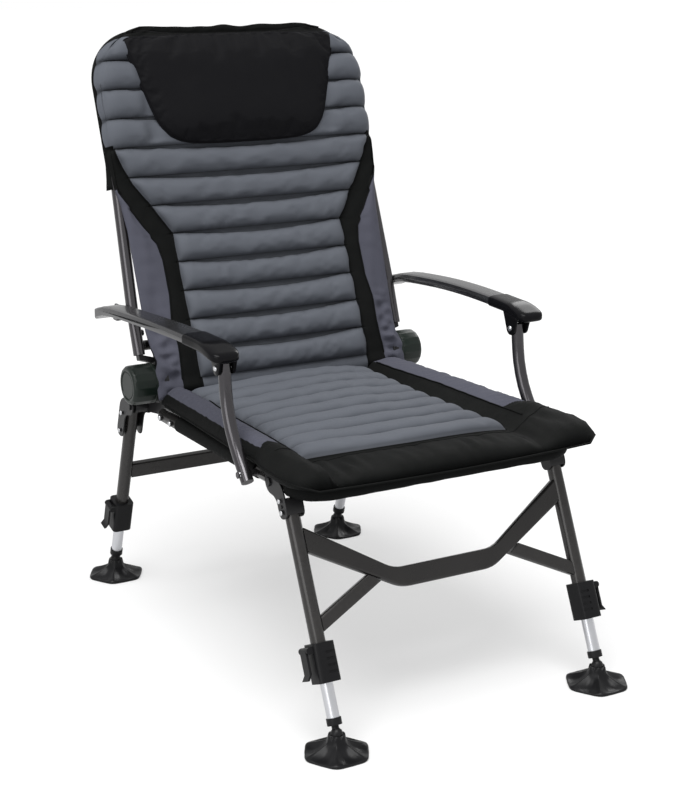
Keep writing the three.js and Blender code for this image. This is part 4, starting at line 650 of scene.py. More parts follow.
def billow(points: np.ndarray, held: np.ndarray, pressure: float, cap: float) -> np.ndarray:
    """Fills a grid of cloth with air by simulation, with its seams held.

    Args:
        points: (rows, columns, 3) places in metres, facing outwards.
        held: (rows, columns) share of hold at each point, 1 where it is sewn.
        pressure: Blender's cloth pressure.
        cap: the furthest that a point may move, in metres.

    Returns:
        The places after the simulation.
    """
    rows, columns = points.shape[:2]
    number = np.arange(rows * columns).reshape(rows, columns)
    mesh = bpy.data.meshes.new("billow")
    mesh.from_pydata(points.reshape(-1, 3).tolist(), [], quads_of(number).reshape(-1, 4).tolist())
    cloth_object = put("billow", mesh)
    scene = bpy.context.scene
    group = cloth_object.vertex_groups.new(name="sewn")
    for index, share in enumerate(held.ravel()):
        if share > 0:
            group.add([index], float(share), "REPLACE")
    cloth = cloth_object.modifiers.new("cloth", "CLOTH")
    for setting, value in CLOTH_SETTINGS.items():
        setattr(cloth.settings, setting, value)
    cloth.settings.uniform_pressure_force = pressure
    cloth.settings.effector_weights.gravity = 0
    cloth.point_cache.frame_start = 1
    cloth.point_cache.frame_end = CLOTH_FRAMES
    for frame in range(1, CLOTH_FRAMES + 1):
        scene.frame_set(frame)
    evaluated = cloth_object.evaluated_get(bpy.context.evaluated_depsgraph_get())
    moved = np.zeros(rows * columns * 3)
    evaluated.data.vertices.foreach_get("co", moved)
    bpy.data.objects.remove(cloth_object)
    bpy.data.meshes.remove(mesh)
    scene.frame_set(1)
    shift = moved.reshape(rows, columns, 3) - points
    length = np.linalg.norm(shift, axis=-1, keepdims=True)
    return points + shift * np.minimum(1, cap / np.maximum(length, 1e-9))


def billow_fine(points: np.ndarray, held: np.ndarray, pressure: float, cap: float) -> np.ndarray:
    """Runs billow on every second row and column and spreads the movement over all of them.

    Args:
        points: (rows, columns, 3) places in metres.
        held: (rows, columns) share of hold.
        pressure: Blender's cloth pressure.
        cap: the furthest that a point may move, in metres.

    Returns:
        The places after the simulation.
    """
    rows, columns = points.shape[:2]
    some_rows = np.unique(np.append(np.arange(0, rows, CLOTH_STEP), rows - 1))
    some_columns = np.unique(np.append(np.arange(0, columns, CLOTH_STEP), columns - 1))
    coarse = points[np.ix_(some_rows, some_columns)]
    shift = billow(coarse, held[np.ix_(some_rows, some_columns)], pressure, cap) - coarse
    each = np.arange(columns)
    by_row = np.stack([[np.interp(each, some_columns, line[:, axis]) for axis in range(3)] for line in shift])
    spread = np.empty_like(points)
    for axis in range(3):
        for column in range(columns):
            spread[:, column, axis] = np.interp(np.arange(rows), some_rows, by_row[:, axis, column])
    return points + spread * (1 - held[..., None])


# Sewn goods
@dataclass(frozen=True)
class Plane:
    """A pad's own plane: x across, s up or back along it and d out of it, all in millimetres."""

    y: float
    z: float
    lean: float

    def place(self, x: np.ndarray, s: np.ndarray, d: np.ndarray) -> np.ndarray:
        """Turns pad coordinates into places in the frame.

        Args:
            x: across the chair.
            s: along the pad.
            d: out of the pad.

        Returns:
            The places in metres, one more axis at the end.
        """
        turn = math.radians(self.lean)
        x, s, d = np.broadcast_arrays(x, s, d)
        y = self.y + s * math.sin(turn) - d * math.cos(turn)
        z = self.z + s * math.cos(turn) + d * math.sin(turn)
        return np.stack([x, y, z], -1) * MM


BACK = Plane(233, 451, 18.5)
SEAT = Plane(0, 0, 90)


def make_trim_group() -> bpy.types.GeometryNodeTree:
    """Geometry nodes that lay a cord and a row of stitches along a line of sewing."""
    wiring, enter, leave = new_group(
        "sewn_line", "Geometry",
        {"Geometry": "Geometry", "Cord Radius": 0.001, "Stitch Pitch": 0.0045, "Stitch Length": 0.0032,
         "Stitch Radius": 0.0004, "Seed": 3.0, "Material": "Material"},
        ("Geometry",))
    given = enter.outputs
    line = wiring.add("GeometryNodeMeshToCurve", {"Mesh": given["Geometry"]}).outputs["Curve"]
    profile = wiring.add("GeometryNodeCurvePrimitiveCircle", {
        "Resolution": 8, "Radius": given["Cord Radius"]})
    cord = wiring.add("GeometryNodeCurveToMesh", {
        "Curve": line, "Profile Curve": profile.outputs["Curve"], "Fill Caps": True})
    spaced = wiring.add("GeometryNodeResampleCurve", {"Curve": line, "Length": given["Stitch Pitch"]},
                        mode="LENGTH")
    stitch = wiring.add("GeometryNodeMeshIcoSphere", {"Radius": 1, "Subdivisions": 1})
    size = wiring.add("ShaderNodeCombineXYZ", {
        "X": given["Stitch Radius"], "Y": given["Stitch Radius"],
        "Z": wiring.maths("MULTIPLY", given["Stitch Length"], 0.5)})
    tangent = wiring.add("GeometryNodeInputTangent").outputs["Tangent"]
    aligned = wiring.add("FunctionNodeAlignRotationToVector", {"Vector": tangent}, axis="Z")
    wobble = wiring.add("FunctionNodeRandomValue", {
        "Min": (-0.16, -0.16, -0.16), "Max": (0.16, 0.16, 0.16), "Seed": given["Seed"],
    }, data_type="FLOAT_VECTOR")
    tilted = wiring.add("FunctionNodeRotateRotation", {
        "Rotation": aligned.outputs["Rotation"], "Rotate By": wobble.outputs["Value"]})
    row = wiring.add("GeometryNodeInstanceOnPoints", {
        "Points": spaced.outputs["Curve"], "Instance": stitch.outputs["Mesh"],
        "Rotation": tilted.outputs["Rotation"], "Scale": size.outputs["Vector"]})
    both = wiring.add("GeometryNodeJoinGeometry", {"Geometry": row.outputs["Instances"]})
    wiring.fill(both, {"Geometry": cord.outputs["Mesh"]})
    real = wiring.add("GeometryNodeRealizeInstances", {"Geometry": both.outputs["Geometry"]})
    finished = wiring.add("GeometryNodeSetMaterial", {
        "Geometry": real.outputs["Geometry"], "Material": given["Material"]})
    shaded = wiring.add("GeometryNodeSetShadeSmooth", {"Geometry": finished.outputs["Geometry"]})
    wiring.fill(leave, {"Geometry": shaded.outputs["Geometry"]})
    return wiring.tree


class Sewing:
    """Lays piping and stitches on seams."""

    STITCH_SHARE = 0.7

    def __init__(self, workshop: Workshop) -> None:
        """Builds the geometry nodes once.

        Args:
            workshop: where the finishes are.
        """
        self.workshop = workshop
        self.tree = make_trim_group()

    def lay(
        self, name: str, lines: list[np.ndarray], body: str, finish: str = "thread",
        cord: float = 0.5, stitch: float = 0.45, pitch: float = 4.6,
    ) -> bpy.types.Object:
        """Makes one piece of trim from some lines of sewing.

        Args:
            name: the piece's name.
            lines: (n, 3) places in metres of each line.
            body: body that it rides.
            finish: name of its material.
            cord: radius of the cord or bound edge, in millimetres.
            stitch: radius of a stitch's thread, in millimetres.
            pitch: distance from stitch to stitch, in millimetres.

        Returns:
            The new piece, a plain mesh.
        """
        points = np.concatenate(lines)
        edges: list[tuple[int, int]] = []
        start = 0
        for line in lines:
            edges += [(start + k, start + k + 1) for k in range(len(line) - 1)]
            start += len(line)
        mesh = bpy.data.meshes.new(name)
        mesh.from_pydata(points.tolist(), edges, [])
        carrier = put(name + "_line", mesh)
        modifier = carrier.modifiers.new("sewn", "NODES")
        modifier.node_group = self.tree
        values = {
            "Cord Radius": cord * MM, "Stitch Pitch": pitch * MM, "Stitch Radius": stitch * MM,
            "Stitch Length": pitch * self.STITCH_SHARE * MM, "Material": self.workshop.materials[finish],
        }
        for item in self.tree.interface.items_tree:
            if item.item_type == "SOCKET" and item.in_out == "INPUT" and item.name in values:
                modifier[item.identifier] = values[item.name]
        evaluated = carrier.evaluated_get(bpy.context.evaluated_depsgraph_get())
        real = bpy.data.meshes.new_from_object(evaluated)
        real.name = name
        bpy.data.objects.remove(carrier)
        bpy.data.meshes.remove(mesh)
        piece = put(name, real)
        fit(piece, body)
        LOG.info("%s: %d faces of trim", name, len(real.polygons))
        return piece


@dataclass
class Quilt:
    """A long pad: rounded channels across its middle, a plain strip and a side panel at each side."""

    name: str
    plane: Plane
    seams: tuple[float, ...]
    low_end: float
    high_end: float
    channel_half: Curve
    strip_half: Curve
    edge_half: Curve
    ground: Curve
    edge_depth: Curve
    rear: float
    crest: float
    lens: float
    crown: float
    bolster: float
    wall: float
    end_wall: float
    roll: float
    seed: int
    channel_rows: int = 14
    columns: tuple[int, int, int, int] = (36, 6, 12, 5)
    end_fall: float = 24
    piping_end: float = 1000
    fullness: float = 3.2
    strip_rise: float = 1.15
    billow_cap: float = 1.3

    CHANNEL_REGION, STRIP_REGION, PANEL_REGION, ROLL_REGION = range(4)
    END_ROWS = 6
    PRESSURE = 4.0
    LEAST_THICK = 1.5
    BAND_WIDTH, BAND_SAG = 1.2, 2.2
    # Painted shade beside the seams: how far it fades from a seam and from the channels' border, and how dark
    # it is on that border.
    FOLD_REACH, BORDER_REACH, BORDER_SHADE = 3.2, 3, 0.8
    REAR_FALL = (1, 0.55, 0.2, 0.05, 0)

    def column_plan(self) -> tuple[np.ndarray, np.ndarray]:
        """Region and share within the region of each column, from the middle out on both sides."""
        channel, strip, panel, roll = self.columns
        inner = 1 - (1 - np.linspace(0, 1, channel + 1)) ** 1.3
        shares = [inner, *(np.linspace(0, 1, count + 1)[1:] for count in (strip, panel, roll))]
        regions = [np.full(len(share), k) for k, share in enumerate(shares)]
        half_region, half_share = np.concatenate(regions), np.concatenate(shares)
        region = np.concatenate([half_region[:0:-1], half_region])
        share = np.concatenate([-half_share[:0:-1], half_share])
        share[len(half_share) - 1] = 0
        return region, share

    def row_plan(self) -> tuple[np.ndarray, np.ndarray, np.ndarray]:
        """Number of the channel of each row, its share of the channel, and 1 on the bands between two."""
        number, share, band = [], [], []
        turn = (1 - np.cos(np.linspace(0, math.pi, self.channel_rows + 1))) / 2
        turn = 0.55 * turn + 0.45 * np.linspace(0, 1, self.channel_rows + 1)
        for k in range(len(self.seams) - 1):
            number += [k] * len(turn) + [k] * 2
            share += list(turn) + [1 / 3, 2 / 3]
            band += [0] * len(turn) + [1, 1]
        return np.array(number), np.array(share), np.array(band)

    def grids(self) -> Grid:
        """Lays out the pad.

        Returns:
            For each point of the front grid x and s, its distance from the middle line, its region and
            share of that, its channel and share of that, whether it lies on a band, and the three half
            widths of its row.
        """
        region, share = self.column_plan()
        number, turn, band = self.row_plan()
        seams = np.array(self.seams)
        ends = self.END_ROWS
        low = seams[0] - (seams[0] - self.low_end) * np.linspace(1, 0, ends, endpoint=False)
        high = seams[-1] + (self.high_end - seams[-1]) * np.linspace(0, 1, ends)
        nominal = seams[number] + (seams[number + 1] - seams[number]) * np.where(band == 1, 1, turn)
        rows_s = np.concatenate([low, nominal, high])
        number = np.concatenate([np.full(ends, -1), number, np.full(ends, -1)])
        turn = np.concatenate([np.zeros(ends), turn, np.zeros(ends)])
        band = np.concatenate([np.zeros(ends), band, np.zeros(ends)])
        channel_half = along(self.channel_half, rows_s)[:, None]
        strip_half = along(self.strip_half, rows_s)[:, None]
        edge_half = along(self.edge_half, rows_s)[:, None]
        size = np.abs(share)[None, :]
        side = np.where(share < 0, -1, 1)[None, :]
        flat_edge = edge_half - self.roll
        kind = region[None, :]
        across = np.select(
            [kind == self.CHANNEL_REGION, kind == self.STRIP_REGION, kind == self.PANEL_REGION],
            [size * channel_half, channel_half + size * (strip_half - channel_half),
             strip_half + size * (flat_edge - strip_half)],
            flat_edge + self.roll * np.sin(size * math.pi / 2),
        )
        lens = self.lens * np.clip(1 - (across / np.maximum(channel_half - 12, 1)) ** 2, 0, 1)
        lens = np.maximum(lens, self.BAND_WIDTH + 5 * smooth(across, channel_half, channel_half + 12))
        pitch = seams[1] - seams[0]
        on_channel = (number >= 0)[:, None]
        low_seam = np.where(number >= 0, seams[np.maximum(number, 0)], rows_s)[:, None]
        s = np.where(
            on_channel,
            np.where(band[:, None] == 1, low_seam + pitch - lens * (1 - turn[:, None]),
                     low_seam + (pitch - lens) * turn[:, None]),
            rows_s[:, None] + 0 * across,
        )
        layout = {
            "x": side * across, "s": s, "across": across, "region": kind, "size": size,
            "number": number[:, None], "turn": turn[:, None], "band": band[:, None],
            "channel_half": channel_half, "strip_half": strip_half, "edge_half": edge_half,
        }
        return {key: np.broadcast_to(values, s.shape).copy() for key, values in layout.items()}

    def puff_share(self, g: Grid) -> np.ndarray:
        """How full the pad is at each point, 1 where nothing presses on it."""
        return np.ones_like(g["s"])

    def heights(self, g: Grid) -> np.ndarray:
        """Depth d of the front at each point of the grid.

        Args:
            g: what grids() gave.

        Returns:
            The depths in millimetres.
        """
        base = along(self.ground, g["s"])
        edge = along(self.edge_depth, g["s"])
        share = np.clip(g["across"] / g["channel_half"], 0, 1)
        base = base - self.crown * share**2
        on_channel = (g["number"] >= 0) & (g["band"] == 0)
        arch = np.where(on_channel, (1 - np.abs(2 * g["turn"] - 1) ** 2.5) ** 0.6, 0)
        fall = dome(np.clip((g["across"] - (g["channel_half"] - self.end_fall)) / self.end_fall, 0, 1))
        band_sag = np.where(g["band"] == 1, -self.BAND_SAG * np.sin(g["turn"] * math.pi), 0)
        wander = 1 + 0.07 * ripple(g["x"], g["s"] * 0.4, 160, self.seed)
        puff = self.crest * arch * fall * wander * self.puff_share(g)
        seam_near = np.exp(-np.minimum(g["turn"], 1 - g["turn"]) / 0.16)
        pucker = 0.45 * ripple(g["x"], g["s"] * 0.25, 15, self.seed + 1) * seam_near * arch * fall
        drift = 0.5 * ripple(g["x"], g["s"], 60, self.seed + 2) * arch * fall
        channel = base + puff + band_sag + pucker + drift
        shoulder = base + self.bolster + self.crown * smooth(share, 0.999, 1)
        strip = mix(base, shoulder, smooth(g["size"], 0, self.strip_rise))
        strip = strip + 1.6 * np.sin(g["size"] * math.pi) + 0.35 * ripple(g["x"], g["s"], 26, self.seed + 3)
        panel_width = np.maximum(g["edge_half"] - g["strip_half"], 1)
        out = np.clip((g["across"] - g["strip_half"]) / panel_width, 0, 1)
        seam_top = mix(base, shoulder, smooth(1, 0, self.strip_rise))
        loose = 0.7 * ripple(g["x"], g["s"], 34, self.seed + 4) + self.loose(g)
        hump = (shoulder - seam_top) * np.sin(out * math.pi)
        top = mix(seam_top, edge, smooth(out, 0, 0.55)) + hump + loose * np.sin(out * math.pi)
        foot = edge - self.wall
        panel = foot + (top - foot) * dome(out, self.fullness)
        regions = [g["region"] == self.CHANNEL_REGION, g["region"] == self.STRIP_REGION]
        depth = np.select(regions, [channel, strip], panel)
        return self.merge(g, depth, foot, base, arch)

    def merge(
        self, g: Grid, depth: np.ndarray, foot: np.ndarray, base: np.ndarray, arch: np.ndarray
    ) -> np.ndarray:
        """Shapes the pad where its channels run to the edge, which this one's don't.

        Args:
            g: what grids() gave.
            depth: the depths so far.
            foot: depth at the foot of the wall.
            base: depth of the seams.
            arch: how far each point is up its channel's round.

        Returns:
            The depths in millimetres.
        """
        return depth

    def loose(self, g: Grid) -> np.ndarray:
        """Extra creases of the side panels, in millimetres."""
        return np.zeros_like(g["s"])

    def warp(self, g: Grid) -> None:
        """Bends the seams where they aren't straight; changes the grid in place."""

    def ends(self, g: Grid, depth: np.ndarray) -> np.ndarray:
        """Rounds the two ends down; returns the new depths."""
        for inner, outer in ((self.seams[0], self.low_end), (self.seams[-1], self.high_end)):
            out = np.clip((g["plain"] - inner) / (outer - inner), 0, 1)
            foot = along(self.ground, np.full_like(depth, outer)) - self.end_wall
            depth = np.where(out > 0, foot + (depth - foot) * dome(out, 4), depth)
        return depth

    def shape(self) -> tuple[Grid, np.ndarray, np.ndarray]:
        """The front and rear grids in the frame.

        Returns:
            The layout, the front places and the rear places, in metres.
        """
        g = self.grids()
        g["plain"] = g["s"].copy()
        self.warp(g)
        depth = self.ends(g, self.heights(g))
        depth = np.maximum(depth, self.rear + self.LEAST_THICK)
        front = self.plane.place(g["x"], g["s"], depth)
        seam = (g["band"] == 1) | (g["number"] < 0) | (g["turn"] <= 0) | (g["turn"] >= 1)
        held = np.where((g["region"] != self.CHANNEL_REGION) | seam, 1.0, 0.0)
        front = billow_fine(front, held, self.PRESSURE, self.billow_cap * MM)
        rows, columns = depth.shape
        row_distance = np.minimum(np.arange(rows), rows - 1 - np.arange(rows))[:, None]
        column_distance = np.minimum(np.arange(columns), columns - 1 - np.arange(columns))[None, :]
        inward = np.minimum(row_distance, column_distance)
        fall = np.interp(inward, range(len(self.REAR_FALL)), self.REAR_FALL)
        sag = 0.32 * np.abs(ripple(g["x"], g["s"], 70, self.seed + 9)) * (1 - fall)
        rear_depth = self.rear + (depth - self.rear) * fall * 0.8 - sag
        rear = self.plane.place(g["x"] * (1 - 0.012 * (1 - fall)), g["s"], rear_depth)
        return g, front, rear

    def finish_map(self, g: Grid) -> np.ndarray:
        """Material number of each front quad: 0 channels, 1 black cloth, 2 side panels."""
        kind = np.minimum(self.outer_region(g), self.PANEL_REGION)
        return np.where((g["number"][:-1, :-1] < 0) & (kind == 0), 1, kind)

    def outer_region(self, g: Grid) -> np.ndarray:
        """The outer of the two regions that each front quad touches."""
        return np.maximum(g["region"][:-1, :-1], g["region"][:-1, 1:])

    def fold_map(self, g: Grid) -> np.ndarray:
        """How much painted shade each point gets, from 0 to 1, by how deep in a sewn fold it lies and how
        near the channels' border.
        """
        pitch = self.seams[1] - self.seams[0]
        whole = g["plain"] > self.piping_end
        sewn = ((g["region"] == self.CHANNEL_REGION) | whole) * (g["number"] >= 0)
        seam = np.exp(-np.minimum(g["turn"], 1 - g["turn"]) * pitch / self.FOLD_REACH)
        border = np.exp(-np.abs(g["across"] - g["channel_half"]) / self.BORDER_REACH) * ~whole
        return np.maximum(np.where(g["band"] == 1, 1, seam) * sewn, self.BORDER_SHADE * border)

    def build(self, workshop: Workshop, sewing: Sewing, body: str, node: str, slot: str) -> bpy.types.Object:
        """Makes the pad and the sewing on it.

        Args:
            workshop: where the finishes are.
            sewing: lays the seams' trim.
            body: body that the pad rides.
            node: CAD node that it replaces.
            slot: its material slot in the record.

        Returns:
            The pad.
        """
        g, front, rear = self.shape()
        piece = workshop.cushion_piece(
            self.name, front, rear, np.stack([g["x"], g["s"]], -1) * MM,
            ["channel_knit", "black_polyester", "panel_weave"], self.finish_map(g), 1,
        )
        # Painted shade: the front points carry how much the cloth's colour is darkened in and beside the sewn
        # folds.
        fold = np.zeros(len(piece.data.vertices), np.float32)
        fold[: g["x"].size] = self.fold_map(g).ravel()
        piece.data.attributes.new(PAINTED_SHADE_ATTRIBUTE, "FLOAT", "POINT").data.foreach_set("value", fold)
        fit(piece, body, node)
        LOG.info("%s: %d faces", self.name, len(piece.data.polygons))
        self.sew(g, front, sewing, body, slot)
        return piece

    def sew(self, g: Grid, front: np.ndarray, sewing: Sewing, body: str, slot: str) -> None:
        """Lays stitches along the channels' seams and piping along the strips.

        Args:
            g: the layout.
            front: the front places in metres.
            sewing: lays the trim.
            body: body that it rides.
            slot: its material slot; not used.
        """
        region, number, turn = g["region"][0], g["number"][:, 0], g["turn"][:, 0]
        inner = np.where(region == self.CHANNEL_REGION)[0]
        on_channel = number >= 0
        starts = on_channel & (turn <= 0) & (g["band"][:, 0] == 0)
        lift = self.plane.place(0, 0, 0.4) - self.plane.place(0, 0, 0)
        rows = np.sort(np.concatenate([np.where(starts)[0], np.where(on_channel & (turn >= 1))[0]]))
        lines = [front[row, inner[1]:inner[-1]] + lift for row in rows]
        sewing.lay(self.name + "_stitches", lines, body, cord=0.35, stitch=0.5, pitch=4.4)
        borders = []
        piped = range(self.END_ROWS, front.shape[0] - self.END_ROWS)
        kept = [row for row in piped if g["s"][row, 0] < self.piping_end]
        strip = np.where(region <= self.STRIP_REGION)[0]
        for column in (inner[-1], strip[-1], inner[0], strip[0]):
            borders.append(front[kept, column] + lift * 1.5)
        sewing.lay(self.name + "_piping", borders, body, finish="black_polyester", cord=1.5, stitch=0.4)


class BackMattress(Quilt):
    """The quilted mattress of the back."""

    STRIP_TOP = 436.0
    BLACK_PANEL, BLACK_TOP, CHANNELS_TO_EDGE = 357, 640, 440
    ROUND_FROM = 0.86

    def __init__(self) -> None:
        """Sets the measured sizes."""
        super().__init__(
            name="back_quilt", plane=BACK,
            seams=tuple(-4 + 55.0 * k for k in range(13)), low_end=-36, high_end=663,
            channel_half=[
                (-20, 180), (270, 180), (325, 213), (368, 243), (400, 258), (428, 270), (445, 274),
                (560, 274), (598, 266), (620, 251), (638, 230), (650, 210), (658, 186), (666, 150)],
            strip_half=[
                (-20, 218), (60, 213), (110, 216), (160, 210), (222, 210), (258, 216), (290, 237),
                (315, 250), (340, 265), (357, 274), (372, 277), (428, 279), (445, 279), (560, 278),
                (598, 270), (620, 256), (638, 236), (650, 215), (658, 191), (666, 155)],
            edge_half=[
                (-20, 266), (10, 268), (40, 257), (64, 262), (100, 265), (283, 268), (330, 272),
                (360, 278), (436, 285), (560, 286), (598, 280), (620, 268), (638, 248), (650, 226),
                (658, 201), (666, 164)],
            ground=[
                (-36, 36), (-20, 42), (0, 39), (54, 37), (107, 31), (161, 25), (215, 21), (268, 17),
                (321, 15), (374, 14), (430, 17), (483, 19), (534, 19), (600, 15), (656, 10)],
            edge_depth=[
                (-20, 42), (30, 42), (60, 32), (90, 26), (283, 24), (360, 18), (440, 12), (560, 12),
                (656, 10)],
            rear=8, crest=16.5, lens=10.5, crown=1.5, bolster=1.5, wall=10, end_wall=4, roll=8, seed=11,
            piping_end=self.STRIP_TOP,
        )

    def finish_map(self, g: Grid) -> np.ndarray:
        """The shoulder channels run to the edge, and the top is black."""
        kind = super().finish_map(g)
        s, across = g["s"][:-1, :-1], g["across"][:-1, :-1]
        kind = np.where((s > self.BLACK_PANEL) & (kind == 2), 1, kind)
        kind = np.where(s > self.CHANNELS_TO_EDGE, 0, kind)
        kind = np.where((s < self.seams[0]) & (across < 178), 0, kind)
        return np.where((s > self.BLACK_TOP) & (across < 236), 1, kind)

    def warp(self, g: Grid) -> None:
        """Each shoulder channel bulges a little past the seams beside it."""
        arch = np.where((g["number"] >= 0) & (g["band"] == 0), 1 - np.abs(2 * g["turn"] - 1) ** 2.2, 0)
        shoulder = smooth(g["s"], 400, 450) * smooth(g["s"], 662, 640)
        near = smooth(g["across"] / g["edge_half"], self.ROUND_FROM, 1) * shoulder
        g["x"] = g["x"] - np.sign(g["x"]) * near * (3.4 - 4.4 * arch)
        g["s"] = g["s"] + 2.2 * ripple(g["x"], 0 * g["x"], 70, 91) * smooth(g["plain"], 646, 660)

    def merge(
        self, g: Grid, depth: np.ndarray, foot: np.ndarray, base: np.ndarray, arch: np.ndarray
    ) -> np.ndarray:
        """Above the strips the channels keep their round shape out to the edge; the rest is as drawn."""
        out = np.clip(g["across"] / g["edge_half"], 0, 1)
        round_end = dome(np.clip((out - self.ROUND_FROM) / (1 - self.ROUND_FROM), 0, 1), 2.4)
        puffed = base + self.crest * arch * self.puff_share(g)
        whole = foot + (puffed - foot) * round_end
        high = smooth(g["s"], 405, 448) * smooth(g["across"], 236, 252)
        return mix(depth, whole, high)

    def puff_share(self, g: Grid) -> np.ndarray:
        """The headrest presses the top channels flat."""
        return 1 - 0.62 * smooth(g["across"], 214, 190) * smooth(g["s"], 432, 452)

    def loose(self, g: Grid) -> np.ndarray:
        """The side panels crease where they pass the knobs."""
        folds = ripple(g["x"] * 0.7 + g["s"] * 0.35, g["s"], 26, 71)
        gathers = ripple(g["x"] * 0.4 - g["s"] * 0.3, g["s"], 17, 79)
        low = 1.4 * ripple(g["x"], g["s"] * 0.4, 40, 72)
        return (6.5 * folds + 2.2 * gathers) * smooth(g["s"], 150, 40) + low

    def ends(self, g: Grid, depth: np.ndarray) -> np.ndarray:
        """Rounds the ends; the cover's cloth at the top is creased."""
        creased = depth + 1.6 * ripple(g["x"], g["s"] * 0.5, 24, 93) * smooth(g["s"], 640, 650)
        return super().ends(g, creased)


class SeatCushion(Quilt):
    """The quilted seat cushion."""

    FRONT_SEAM, FRONT_END = -326, -414
    WIDE_CHANNEL, WIDE_STRIP = 64, 31
    BLACK_CORNER, WHOLE_REAR = -226, 150

    def __init__(self) -> None:
        """Sets the measured sizes."""
        super().__init__(
            name="seat_quilt", plane=SEAT,
            seams=tuple(self.FRONT_SEAM + 53.75 * k for k in range(10)), low_end=self.FRONT_END, high_end=190,
            channel_half=[
                (-330, 165), (-270, 161), (-212, 157), (-96, 151), (-11, 152), (78, 160), (178, 162)],
            strip_half=[(-330, 208), (-222, 203), (-44, 200), (98, 186), (178, 182)],
            edge_half=[
                (-414, 262), (-408, 278), (-398, 290), (-380, 297), (-350, 294), (-285, 281), (-165, 279),
                (-57, 275), (40, 270), (135, 266), (178, 264)],
            ground=[(-414, 449), (-375, 452), (-330, 449), (-300, 448), (184, 448)],
            edge_depth=[(-414, 451), (-370, 453), (-300, 451), (-200, 449), (184, 446)],
            rear=415.5, crest=16, lens=4.5, crown=17, bolster=7, wall=24, end_wall=28, roll=8, seed=31,
            fullness=4.6, strip_rise=1.5, billow_cap=0.7,
        )

    def warp(self, g: Grid) -> None:
        """Bows the seams, the front one most, and widens the channels on the sitter's right."""
        wide = g["x"] < 0
        channel = g["channel_half"] + np.where(wide, self.WIDE_CHANNEL, 0)
        strip = g["strip_half"] + np.where(wide, self.WIDE_STRIP, 0)
        inner = g["across"] / g["channel_half"] * channel
        between = channel + g["size"] * (strip - channel)
        flat_edge = g["edge_half"] - self.roll
        outer = strip + (g["across"] - g["strip_half"]) * (flat_edge - strip) / (flat_edge - g["strip_half"])
        g["across"] = np.select([g["region"] == kind for kind in range(self.ROLL_REGION)],
                                [inner, between, outer], g["across"])
        g["x"] = np.where(wide, -1, 1) * g["across"]
        g["channel_half"], g["strip_half"] = channel, strip
        share = (g["across"] / 195) ** 2
        share = share / (1 + 0.28 * share)
        bow = 20 * smooth(g["plain"], 184, 130) + 34 * smooth(g["plain"], 20, self.FRONT_SEAM)
        front = smooth(g["plain"], self.FRONT_SEAM, self.FRONT_END)
        g["s"] = g["s"] + bow * (1 - front) * share
        g["s"] = g["s"] + 16 * front * np.minimum((g["across"] / 290) ** 2, 1)

    def finish_map(self, g: Grid) -> np.ndarray:
        """The front corners and the walls are black."""
        kind, outer = super().finish_map(g), self.outer_region(g)
        corner = (kind == 2) & (g["s"][:-1, :-1] < self.BLACK_CORNER)
        kind = np.where((outer == self.ROLL_REGION) | corner, 1, kind)
        return np.where((g["plain"][:-1, :-1] > self.WHOLE_REAR) & (outer == self.CHANNEL_REGION), 0, kind)

    def loose(self, g: Grid) -> np.ndarray:
        """The bolsters crease across at their front and rear."""
        corner = np.exp(-(((g["across"] - 236) / 34) ** 2 + ((g["s"] + 262) / 30) ** 2))
        return 2.0 * ripple(g["x"] * 0.25, g["s"], 19, 73) + 6 * corner

    def ends(self, g: Grid, depth: np.ndarray) -> np.ndarray:
        """Rounds the ends; the black front roll is loosely creased."""
        creases = 2.0 * ripple(g["x"], g["s"] * 0.4, 30, 75) + 1.6 * ripple(g["x"], g["s"], 80, 76)
        return super().ends(g, depth + creases * smooth(g["plain"], -330, -350))

    def sew(self, g: Grid, front: np.ndarray, sewing: Sewing, body: str, slot: str) -> None:
        """Adds the bound seams round the bottom and along the front roll's top."""
        super().sew(g, front, sewing, body, slot)
        rim = np.concatenate([front[:-8, 0][::-1], front[0, 1:-1], front[:-8, -1]])
        for name, line, cord in (("seat_rim", rim, 1.8), ("seat_front_seam", front[5, 8:-8], 1.2)):
            sewing.lay(name, [line], body, finish="black_polyester", cord=cord, stitch=0.4)


def square_grid(count: int, power: float, top_power: float) -> tuple[np.ndarray, np.ndarray, np.ndarray]:
    """A grid of rings that run from a pad's middle to its rounded outline.

    Args:
        count: points along a side.
        power: how square the lower corners are; 2 is an ellipse.
        top_power: how square the upper corners are.

    Returns:
        Shares a and b across and along, from -1 to 1, and the ring share r.
    """
    bunching = 0.86
    line = np.sin(np.linspace(-1, 1, count) * math.pi / 2 * bunching) / math.sin(math.pi / 2 * bunching)
    u, v = np.meshgrid(line, line)
    ring = np.maximum(np.abs(u), np.abs(v))
    safe = np.maximum(ring, 1e-9)
    power = mix(power, top_power, smooth(v / safe, -0.1, 0.5))
    pull = (np.abs(u / safe) ** power + np.abs(v / safe) ** power) ** (1 / power)
    pull = np.where(ring > 0, pull, 1)
    return u / pull, v / pull, ring


